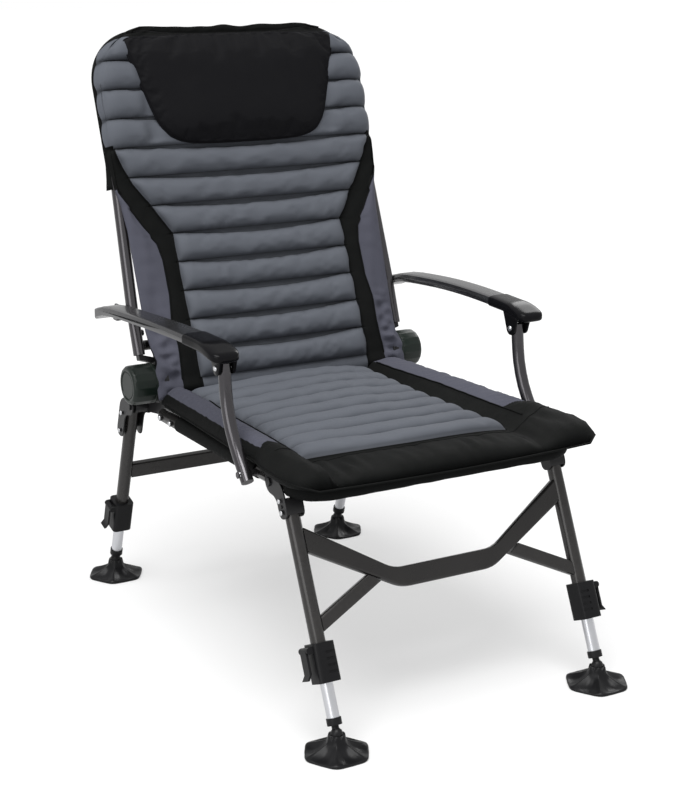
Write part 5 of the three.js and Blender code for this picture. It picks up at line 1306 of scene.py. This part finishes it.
class Headrest:
    """The padded headrest strapped over the top of the back."""

    HALF = [(434, 166), (463, 172), (518, 190), (571, 207), (625, 222), (640, 226)]
    LOW, HIGH = 438.0, 641.0
    FRONT, EDGE, REAR = 47.0, 24.0, 19.0
    POINTS, CORNER, TOP_CORNER = 97, 5.6, 18

    def build(self, workshop: Workshop, sewing: Sewing) -> bpy.types.Object:
        """Makes the headrest and its seam.

        Args:
            workshop: where the finishes are.
            sewing: lays the seam's piping.

        Returns:
            The headrest.
        """
        a, b, ring = square_grid(self.POINTS, self.CORNER, self.TOP_CORNER)
        s = (self.LOW + self.HIGH) / 2 + b * (self.HIGH - self.LOW) / 2
        x = a * along(self.HALF, s)
        s = s + (1 - (x / 215) ** 2) * (2 * smooth(b, 0, 1) - 4 * smooth(b, 0, -1))
        lean = along([(434, 1.0), (640, 0.72)], s)
        full = dome(ring, 3.4)
        front = self.EDGE + (self.FRONT - self.EDGE) * full * lean + 0.5 * ripple(x, s, 85, 5) * full
        rear = self.EDGE - (self.EDGE - self.REAR) * np.minimum(full * 1.6, 1)
        front_places = BACK.place(x, s, front)
        held = (ring > 0.985).astype(float)
        front_places = billow_fine(front_places, held, 3.0, 3.0 * MM)
        piece = workshop.cushion_piece(
            "headrest_cover", front_places, BACK.place(x, s, rear), np.stack([x, s], -1) * MM, ["neoprene"])
        fit(piece, "back", "headrest_pad")
        rim = np.concatenate([
            front_places[0, :], front_places[1:, -1], front_places[-1, -2::-1], front_places[-2::-1, 0]])
        sewing.lay("headrest_seam", [rim], "back", finish="neoprene", cord=1.7, stitch=0.3)
        LOG.info("headrest: %d faces", len(piece.data.polygons))
        return piece


class Pocket:
    """The black cover pulled over the top of the back frame."""

    HALF = [(350, 289), (364, 289), (380, 286), (410, 283), (560, 285), (660, 284)]
    LOW, HIGH = 362.0, 661.0
    CORNER, EDGE = 104.0, 24.0

    def build(self, workshop: Workshop) -> bpy.types.Object:
        """Makes the cover.

        Args:
            workshop: where the finishes are.

        Returns:
            The cover.
        """
        rows, columns = 90, 121
        share = np.linspace(0, 1, rows)[:, None]
        s = self.LOW + (self.HIGH - self.LOW) * np.sin(share * math.pi / 2) ** 0.9
        corner = np.clip((s - (self.HIGH - self.CORNER)) / self.CORNER, 0, 1)
        half = along(self.HALF, s) - self.CORNER * (1 - dome(corner, 2.1))
        u = np.linspace(-1, 1, columns)[None, :]
        x = half * np.sign(u) * (1 - (1 - np.abs(u)) ** 1.7)
        s = np.broadcast_to(s, x.shape)
        near = np.clip((np.abs(x) - (half - self.EDGE)) / self.EDGE, 0, 1)
        top = np.clip((s - (self.HIGH - self.EDGE)) / self.EDGE, 0, 1)
        drop = 1 - dome(np.maximum(near, top))
        sag = 5 * (1 - smooth(np.abs(x), 60, 262)) * (1 - smooth(s, 520, 640))
        rear = -15.5 + 13 * drop + sag + 0.8 * ripple(x, s, 60, 44)
        piece = workshop.cushion_piece(
            "back_cover", BACK.place(x, s, 7 - 11 * drop), BACK.place(x, s, rear),
            np.stack([x, s], -1) * MM, ["black_polyester"])
        fit(piece, "back", "back_pocket")
        LOG.info("back cover: %d faces", len(piece.data.polygons))
        return piece


class Sling:
    """The black sheet under the seat cushion, sleeved round the rails."""

    RAIL_X, RAIL_Z, FRONT_Y, BEND = 259.0, 400.0, -352.0, 48.0
    RADIUS, THICK = 13.5, 1.0
    FRONT, REAR = -346.0, 110.0
    BARE_Y, BARE_X = -198.0, 240.0

    def rail(self) -> np.ndarray:
        """The middle line of the front rail and its two bends, in x and y."""
        turn = np.radians(np.linspace(0, 90, 12))
        x = self.RAIL_X - self.BEND * (1 - np.cos(turn))
        y = self.FRONT_Y + self.BEND * (1 - np.sin(turn))
        bend = np.stack([x, y], -1)
        straight = np.stack([np.linspace(x[-1], -x[-1], 40), np.full(40, self.FRONT_Y)], -1)[1:-1]
        return np.concatenate([bend, straight, bend[::-1] * [-1, 1]])

    def build(self, workshop: Workshop) -> bpy.types.Object:
        """Makes one cloth that runs across and wraps both rails, and the sleeve of the front rail.

        Args:
            workshop: where the finishes are.

        Returns:
            The sling.
        """
        turn = np.radians(np.linspace(-168, 90, 30))
        wrap_x = self.RAIL_X + self.RADIUS * np.cos(turn)
        wrap_z = self.RAIL_Z + self.RADIUS * np.sin(turn)
        span = np.linspace(self.RAIL_X, -self.RAIL_X, 75)[1:-1]
        line_x = np.concatenate([wrap_x, span, -wrap_x[::-1]])
        line_z = np.concatenate([wrap_z, np.full(len(span), self.RAIL_Z + self.RADIUS), wrap_z[::-1]])
        length = np.concatenate([[0], np.cumsum(np.hypot(np.diff(line_x), np.diff(line_z)))])
        x, y = np.meshgrid(line_x, np.linspace(self.FRONT, self.REAR, 115))
        inside = smooth(np.abs(x), self.RAIL_X - 4, self.RAIL_X - 60)
        z = line_z[None, :] + inside * (-2.4 + 0.6 * ripple(x, y, 90, 64))
        middle = (x[:, :-1] + x[:, 1:]) / 2
        bare = (y[:-1, 1:] < self.BARE_Y) & (np.abs(middle[:-1]) > self.BARE_X)
        places = np.stack([x, y, z], -1)
        cut = np.stack([length[None, :] + 0 * y, y], -1)
        piece = workshop.thick_sheet("sling_cloth", places, self.THICK, cut, "black_polyester", ~bare)
        fit(piece, "seat", "seat_sling")
        fit(self.sleeve(workshop), "seat")
        return piece

    def sleeve(self, workshop: Workshop) -> bpy.types.Object:
        """Makes the sleeve of the front rail.

        Args:
            workshop: where the finishes are.

        Returns:
            The sleeve.
        """
        line = self.rail()
        step = np.gradient(line, axis=0)
        step /= np.linalg.norm(step, axis=1, keepdims=True)
        out = np.stack([-step[:, 1], step[:, 0]], -1)
        turn = np.radians(np.linspace(88, -268, 33))
        creases = ripple(np.arange(len(line))[:, None] * 9.0, np.degrees(turn)[None, :] * 0.2, 40, 66)
        radius = self.RADIUS + 0.5 * creases
        flat = line[:, None, :] + out[:, None, :] * (radius * np.cos(turn))[..., None]
        places = np.concatenate([flat, (self.RAIL_Z + radius * np.sin(turn))[..., None]], -1)
        run = np.concatenate([[0], np.cumsum(np.linalg.norm(np.diff(line, axis=0), axis=1))])
        around = self.RADIUS * (turn[0] - turn)
        cut = np.stack(np.meshgrid(run, around, indexing="ij"), -1)
        kept = np.ones((len(run) - 1, len(around) - 1), bool)
        piece = workshop.thick_sheet("sling_front_sleeve", places, self.THICK, cut, "black_polyester", kept)
        return piece


# Hard parts
def make_edge_group() -> bpy.types.GeometryNodeTree:
    """Geometry nodes that smooth a mesh except over edges sharper than an angle."""
    wiring, enter, leave = new_group(
        "sharp_by_angle", "Geometry", {"Geometry": "Geometry", "Angle": 0.6}, ("Geometry",))
    angle = wiring.add("GeometryNodeInputMeshEdgeAngle")
    gentle = wiring.add("FunctionNodeCompare", {
        0: angle.outputs["Unsigned Angle"], 1: enter.outputs["Angle"],
    }, data_type="FLOAT", operation="LESS_THAN")
    faces = wiring.add("GeometryNodeSetShadeSmooth", {"Geometry": enter.outputs["Geometry"]}, domain="FACE")
    edges = wiring.add("GeometryNodeSetShadeSmooth", {
        "Geometry": faces.outputs["Geometry"], "Shade Smooth": gentle.outputs["Result"]}, domain="EDGE")
    wiring.fill(leave, {"Geometry": edges.outputs["Geometry"]})
    return wiring.tree


@dataclass(frozen=True)
class EdgeStyle:
    """How a hard part's edges are broken."""

    width: float = 0.8
    segments: int = 2
    angle: float = 38


class Hardware:
    """Finishes the CAD parts that stay."""

    STYLES = {
        "leg_clamp": EdgeStyle(1.2, 3, 34), "clamp_lever": EdgeStyle(1.0, 3, 34),
        "armrest_bar": EdgeStyle(0.6, 2, 40), "inner_leg": EdgeStyle(0.3, 2, 40),
        "ankle": EdgeStyle(0.7, 2, 34),
    }

    def __init__(self, workshop: Workshop) -> None:
        """Builds the edge nodes once.

        Args:
            workshop: where the finishes are.
        """
        self.workshop = workshop
        self.tree = make_edge_group()

    def smooth_edges(self, piece: bpy.types.Object) -> None:
        """Shades a piece smooth, apart from its sharp edges."""
        piece.modifiers.new("edges", "NODES").node_group = self.tree

    def dress(self, replaced: set[str]) -> None:
        """Gives each hard part its material and its edges.

        Args:
            replaced: names of the nodes that pieces of the scene replace.
        """
        for name, node in sorted(self.workshop.frame["nodes"].items()):
            if name in replaced:
                continue
            style = next((s for key, s in self.STYLES.items() if name.startswith(key)), EdgeStyle())
            slot = node.data.materials[0].name.split(".")[0] if node.data.materials else "black_plastic"
            finish = self.workshop.materials.get(slot, self.workshop.materials["black_plastic"])
            for holder in node.material_slots:
                holder.material = finish
            weld = node.modifiers.new("weld", "WELD")
            weld.merge_threshold = 0.02 * MM
            bevel = node.modifiers.new("bevel", "BEVEL")
            bevel.limit_method = "ANGLE"
            bevel.angle_limit = math.radians(style.angle)
            bevel.width = style.width * MM
            bevel.segments = style.segments
            bevel.use_clamp_overlap = True
            bevel.harden_normals = False
            self.smooth_edges(node)
            node.modifiers.new("even", "WEIGHTED_NORMAL").keep_sharp = True
            LOG.info("%s: %s, edges broken by %.1f mm", name, slot, style.width)


def turned(workshop: Workshop, name: str, rings: np.ndarray, finish: str) -> bpy.types.Object:
    """Makes a closed piece from rings of points; the first and last ring are drawn together.

    Args:
        workshop: where the finishes are.
        name: the piece's name.
        rings: (rings, sides, 3) places in metres, turning so that the faces look out.
        finish: name of its material.

    Returns:
        The new object.
    """
    count, sides = rings.shape[:2]
    number = np.arange(count * sides).reshape(count, sides)
    quads = quads_of(np.concatenate([number, number[:, :1]], 1)).reshape(-1, 4).tolist()
    ends = [number[0][::-1].tolist(), number[-1].tolist()]
    mesh = bpy.data.meshes.new(name)
    mesh.from_pydata(rings.reshape(-1, 3).tolist(), [], quads + ends)
    mesh.materials.append(workshop.materials[finish])
    mesh.polygons.foreach_set("use_smooth", np.ones(len(mesh.polygons), bool))
    mesh.update()
    return put(name, mesh)


class ArmCap:
    """The moulded cap at the front of an armrest: a rounded nose over a clevis."""

    REAR_Y, NOSE_Y, PIVOT_Y, PIVOT_Z, UPRIGHT_X = -62.0, -178.6, -141.0, 566.0, 294.0
    HALF_WIDTH, SIDES, SQUARE = 24.3, 96, 4.0
    NOSE_LENGTH, PIN, CHEEK = 34.0, 2.9, (11.5, 16)
    CHEEK_RADIUS, CHEEK_REAR, CHEEK_FRONT = 12.5, (-117.0, 594.0), (-161.0, 588.0)

    def axis(self, y: np.ndarray) -> tuple[np.ndarray, np.ndarray]:
        """The x and z of the arm's middle line at a place along it."""
        z = 601 - 18 * ((y + 10) / 328) ** 2 - 9.5 * smooth(-118 - y, 0, 75)
        return mix(304, 319.5, smooth(y, -178, 152)), z

    def body_rings(self) -> np.ndarray:
        """The nose and sleeve, as rings from the nose to the rear."""
        tip = 1 - np.cos(np.linspace(0, math.pi / 2, 18))
        nose = self.NOSE_Y + self.NOSE_LENGTH * tip
        y = np.concatenate([nose, np.linspace(nose[-1], self.REAR_Y, 24)[1:], [self.REAR_Y + 0.4]])
        plan, edge = (np.clip((start - y) / (start - self.NOSE_Y), 0, 1) for start in (-146, -168))
        width = self.HALF_WIDTH + 2.2 * smooth(y, -96, -146)
        width = width * np.maximum(1 - plan**3.2, 0.02) ** (1 / 3.2)
        height = along([(-178, 8.2), (-160, 9.2), (-142, 10.3), (-62, 10.5)], y)
        height = height * np.maximum(1 - edge**2, 0.02) ** 0.5
        width[-1] -= 1.2
        height[-1] -= 1.0
        turn = round_turn(self.SIDES)
        up, out = (np.sign(wave) * np.abs(wave) ** (2 / self.SQUARE) for wave in (np.cos(turn), np.sin(turn)))
        x, z = self.axis(y)
        return np.stack([
            x[:, None] + width[:, None] * out, y[:, None] + 0 * turn, z[:, None] + height[:, None] * up], -1)

    def cheek_rings(self, near: float, far: float) -> np.ndarray:
        """One cheek of the clevis, as rings across it.

        Args:
            near: x of its inner face.
            far: x of its outer face.

        Returns:
            (rings, points, 3) places in millimetres.
        """
        turn = np.radians(np.linspace(-165, -15, 26))
        arc = np.stack([self.PIVOT_Y + self.CHEEK_RADIUS * np.cos(turn),
                        self.PIVOT_Z + self.CHEEK_RADIUS * np.sin(turn)], -1)
        rear = np.linspace(arc[-1], self.CHEEK_REAR, 8)[1:]
        top = np.linspace(self.CHEEK_REAR, self.CHEEK_FRONT, 12)[1:]
        front = np.linspace(self.CHEEK_FRONT, arc[0], 8)[1:-1]
        outline = np.concatenate([arc, rear, top, front])
        middle = outline.mean(0)
        rings = []
        for x, share in ((0, 0.93), (0.12, 0.985), (0.3, 1), (0.7, 1), (0.88, 0.985), (1, 0.93)):
            flat = middle + (outline - middle) * share
            rings.append(np.concatenate([np.full((len(flat), 1), near + (far - near) * x), flat], 1))
        return np.array(rings)

    def build(self, hardware: Hardware, side: Side) -> None:
        """Makes the cap, its two cheeks and the pin.

        Args:
            hardware: finishes and edge nodes.
            side: which side.
        """
        turn = round_turn(24)
        y, z = self.PIVOT_Y + self.PIN * np.cos(turn), self.PIVOT_Z + self.PIN * np.sin(turn)
        pin = np.array([np.stack([0 * turn + self.UPRIGHT_X + reach, y, z], -1) for reach in (-15, 15)])
        near, far = self.CHEEK
        parts = {
            "nose": self.body_rings(),
            "outer_cheek": self.cheek_rings(self.UPRIGHT_X + near, self.UPRIGHT_X + far),
            "inner_cheek": self.cheek_rings(self.UPRIGHT_X - far, self.UPRIGHT_X - near),
            "pin": pin,
        }
        for part, rings in parts.items():
            places = rings * [side.value * MM, MM, MM]
            finish = "zinc" if part == "pin" else "black_gloss"
            name = f"arm_cap_{side.label}_{part}"
            piece = turned(hardware.workshop, name, places if side is Side.LEFT else places[::-1], finish)
            hardware.smooth_edges(piece)
            node = f"armrest_cap_{side.label}" if part == "nose" else ""
            fit(piece, f"armrest_{side.label}", node)


class Foot:
    """A mud foot: a lobed dish with claws round the leg's ball."""

    RADIUS, BALL, CUP, LOBES, SIDES = 55.0, 34.0, 10.9, 6, 144
    # Radius, height, depth of the hollows, of the notches between claws, and height of the ribs
    PROFILE = (
        (CUP, 34.8, 0, -4.5, 0), (12.4, 35.2, 0, -4.8, 0), (14.2, 33.6, 0, -4.8, 0),
        (15.2, 28, 0, -3.0, 0.6), (16.4, 23, 1.2, -1.0, 1.6), (19, 19.5, 3.0, 0, 2.6),
        (24, 16.5, 5.5, 0, 3.4), (31, 13.2, 6.8, 0, 3.4), (39, 10.2, 6.4, 0, 2.8), (47, 7.6, 4.4, 0, 2.0),
        (52.5, 6.0, 2.2, 0, 1.2), (RADIUS, 4.6, 0.6, 0, 0.6), (55.2, 2.4, 0, 0, 0), (53.8, 0.0, 0, 0, 0),
        (30, 0.0, 0, 0, 0), (2, 0.0, 0, 0, 0),
    )

    def build(self, hardware: Hardware, end: LegEnd, side: Side) -> None:
        """Makes one foot.

        Args:
            hardware: finishes and edge nodes.
            end: front or rear leg frame.
            side: which side.
        """
        low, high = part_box(f"mud_foot_{end.value}_{side.label}")
        centre = (low + high) / 2
        turn = round_turn(self.SIDES)
        wave = 0.5 + 0.5 * np.cos(self.LOBES * turn)
        ridge, claw = wave**1.6, wave**0.6
        profile = [(0.4, self.BALL - self.CUP, 0, 0, 0)]
        for share in np.linspace(0.2, 1.0, 6):
            angle = share * math.pi / 2
            profile.append((self.CUP * math.sin(angle), self.BALL - self.CUP * math.cos(angle), 0, 0, 0))
        rings = []
        for radius, height, hollow, notch, crease in (*profile, *self.PROFILE):
            shaped = radius * (1 - 0.075 * (1 - ridge) * smooth(radius, 20, self.RADIUS))
            z = height - hollow * (1 - ridge) * 0.9 + notch * (1 - claw) + crease * (ridge > 0.93) * 0.35
            rings.append(np.stack([centre.x / MM + shaped * np.cos(turn),
                                   centre.y / MM + shaped * np.sin(turn), z + 0 * turn], -1))
        where = f"{end.value}_{side.label}"
        rings = np.array(rings)[::-1] * MM
        piece = turned(hardware.workshop, f"foot_{where}_dish", rings, "black_plastic")
        fit(piece, f"foot_{where}", f"mud_foot_{where}")


class Knob:
    """A recline knob: a faceted drum with a ring in its face."""

    RADIUS, FACETS, SIDES = 37.3, 16, 160
    # Distance out, radius and share of facets
    PROFILE = (
        (0.5, 0, 0), (0, 30, 0), (1.5, 35.5, 0), (5, RADIUS, 0), (8, RADIUS, 0), (8.6, 36.2, 0),
        (10, 36.2, 0), (11, RADIUS, 1), (30, RADIUS, 1), (44, 37.0, 1), (49, 36.0, 1), (51.6, 33.8, 0.6),
        (52.6, 31.5, 0), (52.8, 28, 0), (52.4, 27.2, 0), (50.8, 26.6, 0), (50.8, 24.8, 0), (51.9, 24, 0),
        (51.9, 9, 0), (51.9, 0.5, 0),
    )

    def build(self, hardware: Hardware, side: Side) -> None:
        """Makes one knob.

        Args:
            hardware: finishes and edge nodes.
            side: which side.
        """
        name = f"recline_knob_{side.label}"
        low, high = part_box(name)
        centre = (low + high) / 2
        inner = (low.x if side is Side.LEFT else -high.x) / MM
        turn = round_turn(self.SIDES)
        step = 2 * math.pi / self.FACETS
        flat = math.cos(step / 2) / np.cos((turn % step) - step / 2)
        rings = []
        for out, radius, facet in self.PROFILE:
            shaped = np.maximum(radius, 0.4) * mix(1, flat, facet)
            rings.append(np.stack([
                0 * turn + side.value * (inner + out), centre.y / MM + shaped * np.cos(turn),
                centre.z / MM + shaped * np.sin(turn)], -1))
        rings = np.array(rings) * MM
        if side is Side.RIGHT:
            rings = rings[::-1]
        piece = turned(hardware.workshop, f"{side.label}_knob_drum", rings, "knob_plastic")
        hardware.smooth_edges(piece)
        fit(piece, f"knob_{side.label}", name)


@dataclass(frozen=True)
class LegAxis:
    """A leg's own axis in the plane of its swing, in millimetres and radians."""

    pivot_y: float
    pivot_z: float
    offset: float
    turn: float

    def place(self, down: float) -> tuple[float, float]:
        """The y and z of a point on the leg.

        Args:
            down: how far down the leg it is.

        Returns:
            The two coordinates.
        """
        y = self.pivot_y + self.offset * math.cos(self.turn) + down * math.sin(self.turn)
        z = self.pivot_z + self.offset * math.sin(self.turn) - down * math.cos(self.turn)
        return y, z


# x, y, z, way, radius and height of a head
Head = tuple[float, float, float, int, float, float]


class Fasteners:
    """Bright bolt heads, nuts and rivet heads on the joints."""

    FRONT = LegAxis(-257.721, 400, -26.4, -0.4154)
    REAR = LegAxis(298.768, 392, 28.6, 0.32114)
    ARM_PIVOT, UPRIGHT_PIVOT, SEAT_BOLTS = (-141, 566), (-210, 402), ((128, 400), (172, 400))
    # Share of the height and share of the radius of each ring
    DOME = ((-0.6, 0.05), (-0.6, 1.0), (0.12, 1.0), (0.45, 0.93), (0.78, 0.7), (0.96, 0.38), (1.0, 0.05))

    def head(self, x: float, y: float, z: float, way: int, radius: float, height: float) -> np.ndarray:
        """Rings of one domed head.

        Args:
            x: where its seat is, in millimetres.
            y: its middle.
            z: its middle.
            way: 1 where it looks along +x and -1 along -x.
            radius: of the head.
            height: of the dome.

        Returns:
            (rings, sides, 3) places in metres.
        """
        turn = round_turn(20)
        rings = [np.stack([0 * turn + x + way * out * height, y + radius * wide * np.cos(turn),
                           z + radius * wide * np.sin(turn)], -1) for out, wide in self.DOME]
        return np.array(rings if way > 0 else rings[::-1]) * MM

    def places(self, side: Side) -> dict[str, list[Head]]:
        """Where the heads sit, by body.

        Args:
            side: which side.

        Returns:
            For each body, x, y, z, way, radius and height of each head.
        """
        k = side.value
        found: dict[str, list[Head]] = {
            f"armrest_{side.label}": [
                (k * 310.3, *self.ARM_PIVOT, k, 5.0, 3.2), (k * 277.7, *self.ARM_PIVOT, -k, 5.0, 3.2)],
            f"upright_{side.label}": [(k * 303.6, *self.UPRIGHT_PIVOT, k, 5.6, 4.2)],
            "seat": [(k * 274.8, *place, k, 4.6, 2.6) for place in self.SEAT_BOLTS],
        }
        for body, axis, outer, downs in (
            ("front_legs", self.FRONT, 278.2, (36, 55)), ("rear_legs", self.REAR, 282.5, (32.2, 71.8)),
        ):
            found[body] = [(k * outer, *axis.place(down), k, 4.2, 2.0) for down in downs]
        return found

    def build(self, hardware: Hardware) -> None:
        """Makes the heads, one piece for each body.

        Args:
            hardware: finishes and edge nodes.
        """
        for side in Side:
            for body, heads in self.places(side).items():
                for index, head in enumerate(heads):
                    name = f"bolt_{body}_{side.label}_{index}"
                    fit(turned(hardware.workshop, name, self.head(*head), "zinc"), body)


# Studio
class Studio:
    """Camera, lamps, world and floor."""

    CAMERA = Vector((-1.453, -2.522, 1.232))
    LOOK = Vector((0.4822, 0.8365, -0.2603))
    LENS = 76.08
    TARGET = Vector((0, 0, 0.5))
    SOFT_WORLD, GLOSSY_SHARE = 0.4, 0.35
    FLOOR_REACH = 30.0

    def aimed(self, name: str, data: bpy.types.ID, way: Vector) -> bpy.types.Object:
        """Adds a camera or a lamp that looks one way.

        Args:
            name: its name.
            data: the camera or light.
            way: where it looks.

        Returns:
            The new object.
        """
        thing = put(name, data)
        thing.rotation_mode = "QUATERNION"
        thing.rotation_quaternion = way.to_track_quat("-Z", "Y")
        return thing

    def camera(self) -> None:
        """Places the camera as the photograph has it."""
        data = bpy.data.cameras.new("camera")
        data.lens = self.LENS
        data.sensor_width = 36
        data.sensor_fit = "AUTO"
        camera = self.aimed("camera", data, self.LOOK)
        camera.location = self.CAMERA
        bpy.context.scene.camera = camera

    def lamp(self, name: str, place: Colour, size: float, power: float) -> None:
        """Adds a soft area lamp that points at the chair.

        Args:
            name: its name.
            place: where it stands, in metres.
            size: its side, in metres.
            power: in watts.
        """
        data = bpy.data.lights.new(name, "AREA")
        data.shape = "SQUARE"
        data.size = size
        data.energy = power
        self.aimed(name, data, self.TARGET - Vector(place)).location = place

    def light(self) -> None:
        """Sets the lamps, the white world and the floor."""
        data = bpy.data.lights.new("soft_sun", "SUN")
        data.energy = 2.65
        data.angle = math.radians(42)
        self.aimed("soft_sun", data, Vector((0.28, 0.26, -1.0)))
        self.lamp("fill_left", (-3.0, -1.6, 1.5), 2.0, 26)
        self.lamp("rim_right", (2.4, 1.6, 2.2), 1.4, 22)
        world = bpy.data.worlds.new("studio")
        bpy.context.scene.world = world
        world.use_nodes = True
        wiring = Wiring(world.node_tree)
        path = wiring.add("ShaderNodeLightPath").outputs
        seen = wiring.maths("MAXIMUM", path["Is Camera Ray"], path["Is Transmission Ray"])
        glossy = wiring.maths("MULTIPLY", path["Is Glossy Ray"], self.GLOSSY_SHARE)
        either = wiring.maths("MAXIMUM", seen, glossy)
        soft, plain = (wiring.add("ShaderNodeBackground", {"Color": WHITE, "Strength": strength}).outputs[0]
                       for strength in (self.SOFT_WORLD, 1))
        chosen = wiring.add("ShaderNodeMixShader", {0: either, 1: soft, 2: plain})
        wiring.add("ShaderNodeOutputWorld", {"Surface": chosen.outputs[0]})
        self.floor()
        bpy.context.scene.view_settings.view_transform = "Standard"

    def floor(self) -> None:
        """Lays a plain pale floor that keeps the shadow."""
        mesh = bpy.data.meshes.new("floor")
        reach = self.FLOOR_REACH
        corners = [(-reach, -reach, 0), (reach, -reach, 0), (reach, reach, 0), (-reach, reach, 0)]
        mesh.from_pydata(corners, [], [(0, 1, 2, 3)])
        material, wiring = new_material("pale_floor")
        path = wiring.add("ShaderNodeLightPath").outputs
        wiring.surface({
            "Base Color": (0.5, 0.5, 0.5, 1),
            "Emission Color": WHITE,
            "Emission Strength": wiring.maths("MULTIPLY_ADD", path["Is Camera Ray"], 0.3, 0.15),
            "Roughness": 0.7,
            "Specular IOR Level": 0.2,
        })
        mesh.materials.append(material)
        put("floor", mesh)


SOFT_NODES = {"seat_cushion", "seat_sling", "back_mattress", "back_pocket", "headrest_pad"}


def main() -> None:
    """Builds the whole scene."""
    logging.basicConfig(level=logging.INFO, format="%(name)s: %(message)s")
    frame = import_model()
    studio = Studio()
    studio.camera()
    workshop = Workshop(frame)
    sewing = Sewing(workshop)
    hardware = Hardware(workshop)
    remade = {f"{part}_{side.label}" for part in ("recline_knob", "armrest_cap") for side in Side}
    remade |= {f"mud_foot_{end.value}_{side.label}" for end in LegEnd for side in Side}
    hardware.dress(SOFT_NODES | remade)
    for side in Side:
        Knob().build(hardware, side)
        ArmCap().build(hardware, side)
        for end in LegEnd:
            Foot().build(hardware, end, side)
    Fasteners().build(hardware)
    BackMattress().build(workshop, sewing, "back", "back_mattress", "grey_fabric")
    SeatCushion().build(workshop, sewing, "seat", "seat_cushion", "grey_fabric")
    Headrest().build(workshop, sewing)
    Pocket().build(workshop)
    Sling().build(workshop)
    studio.light()


if __name__ == "__main__":
    main()
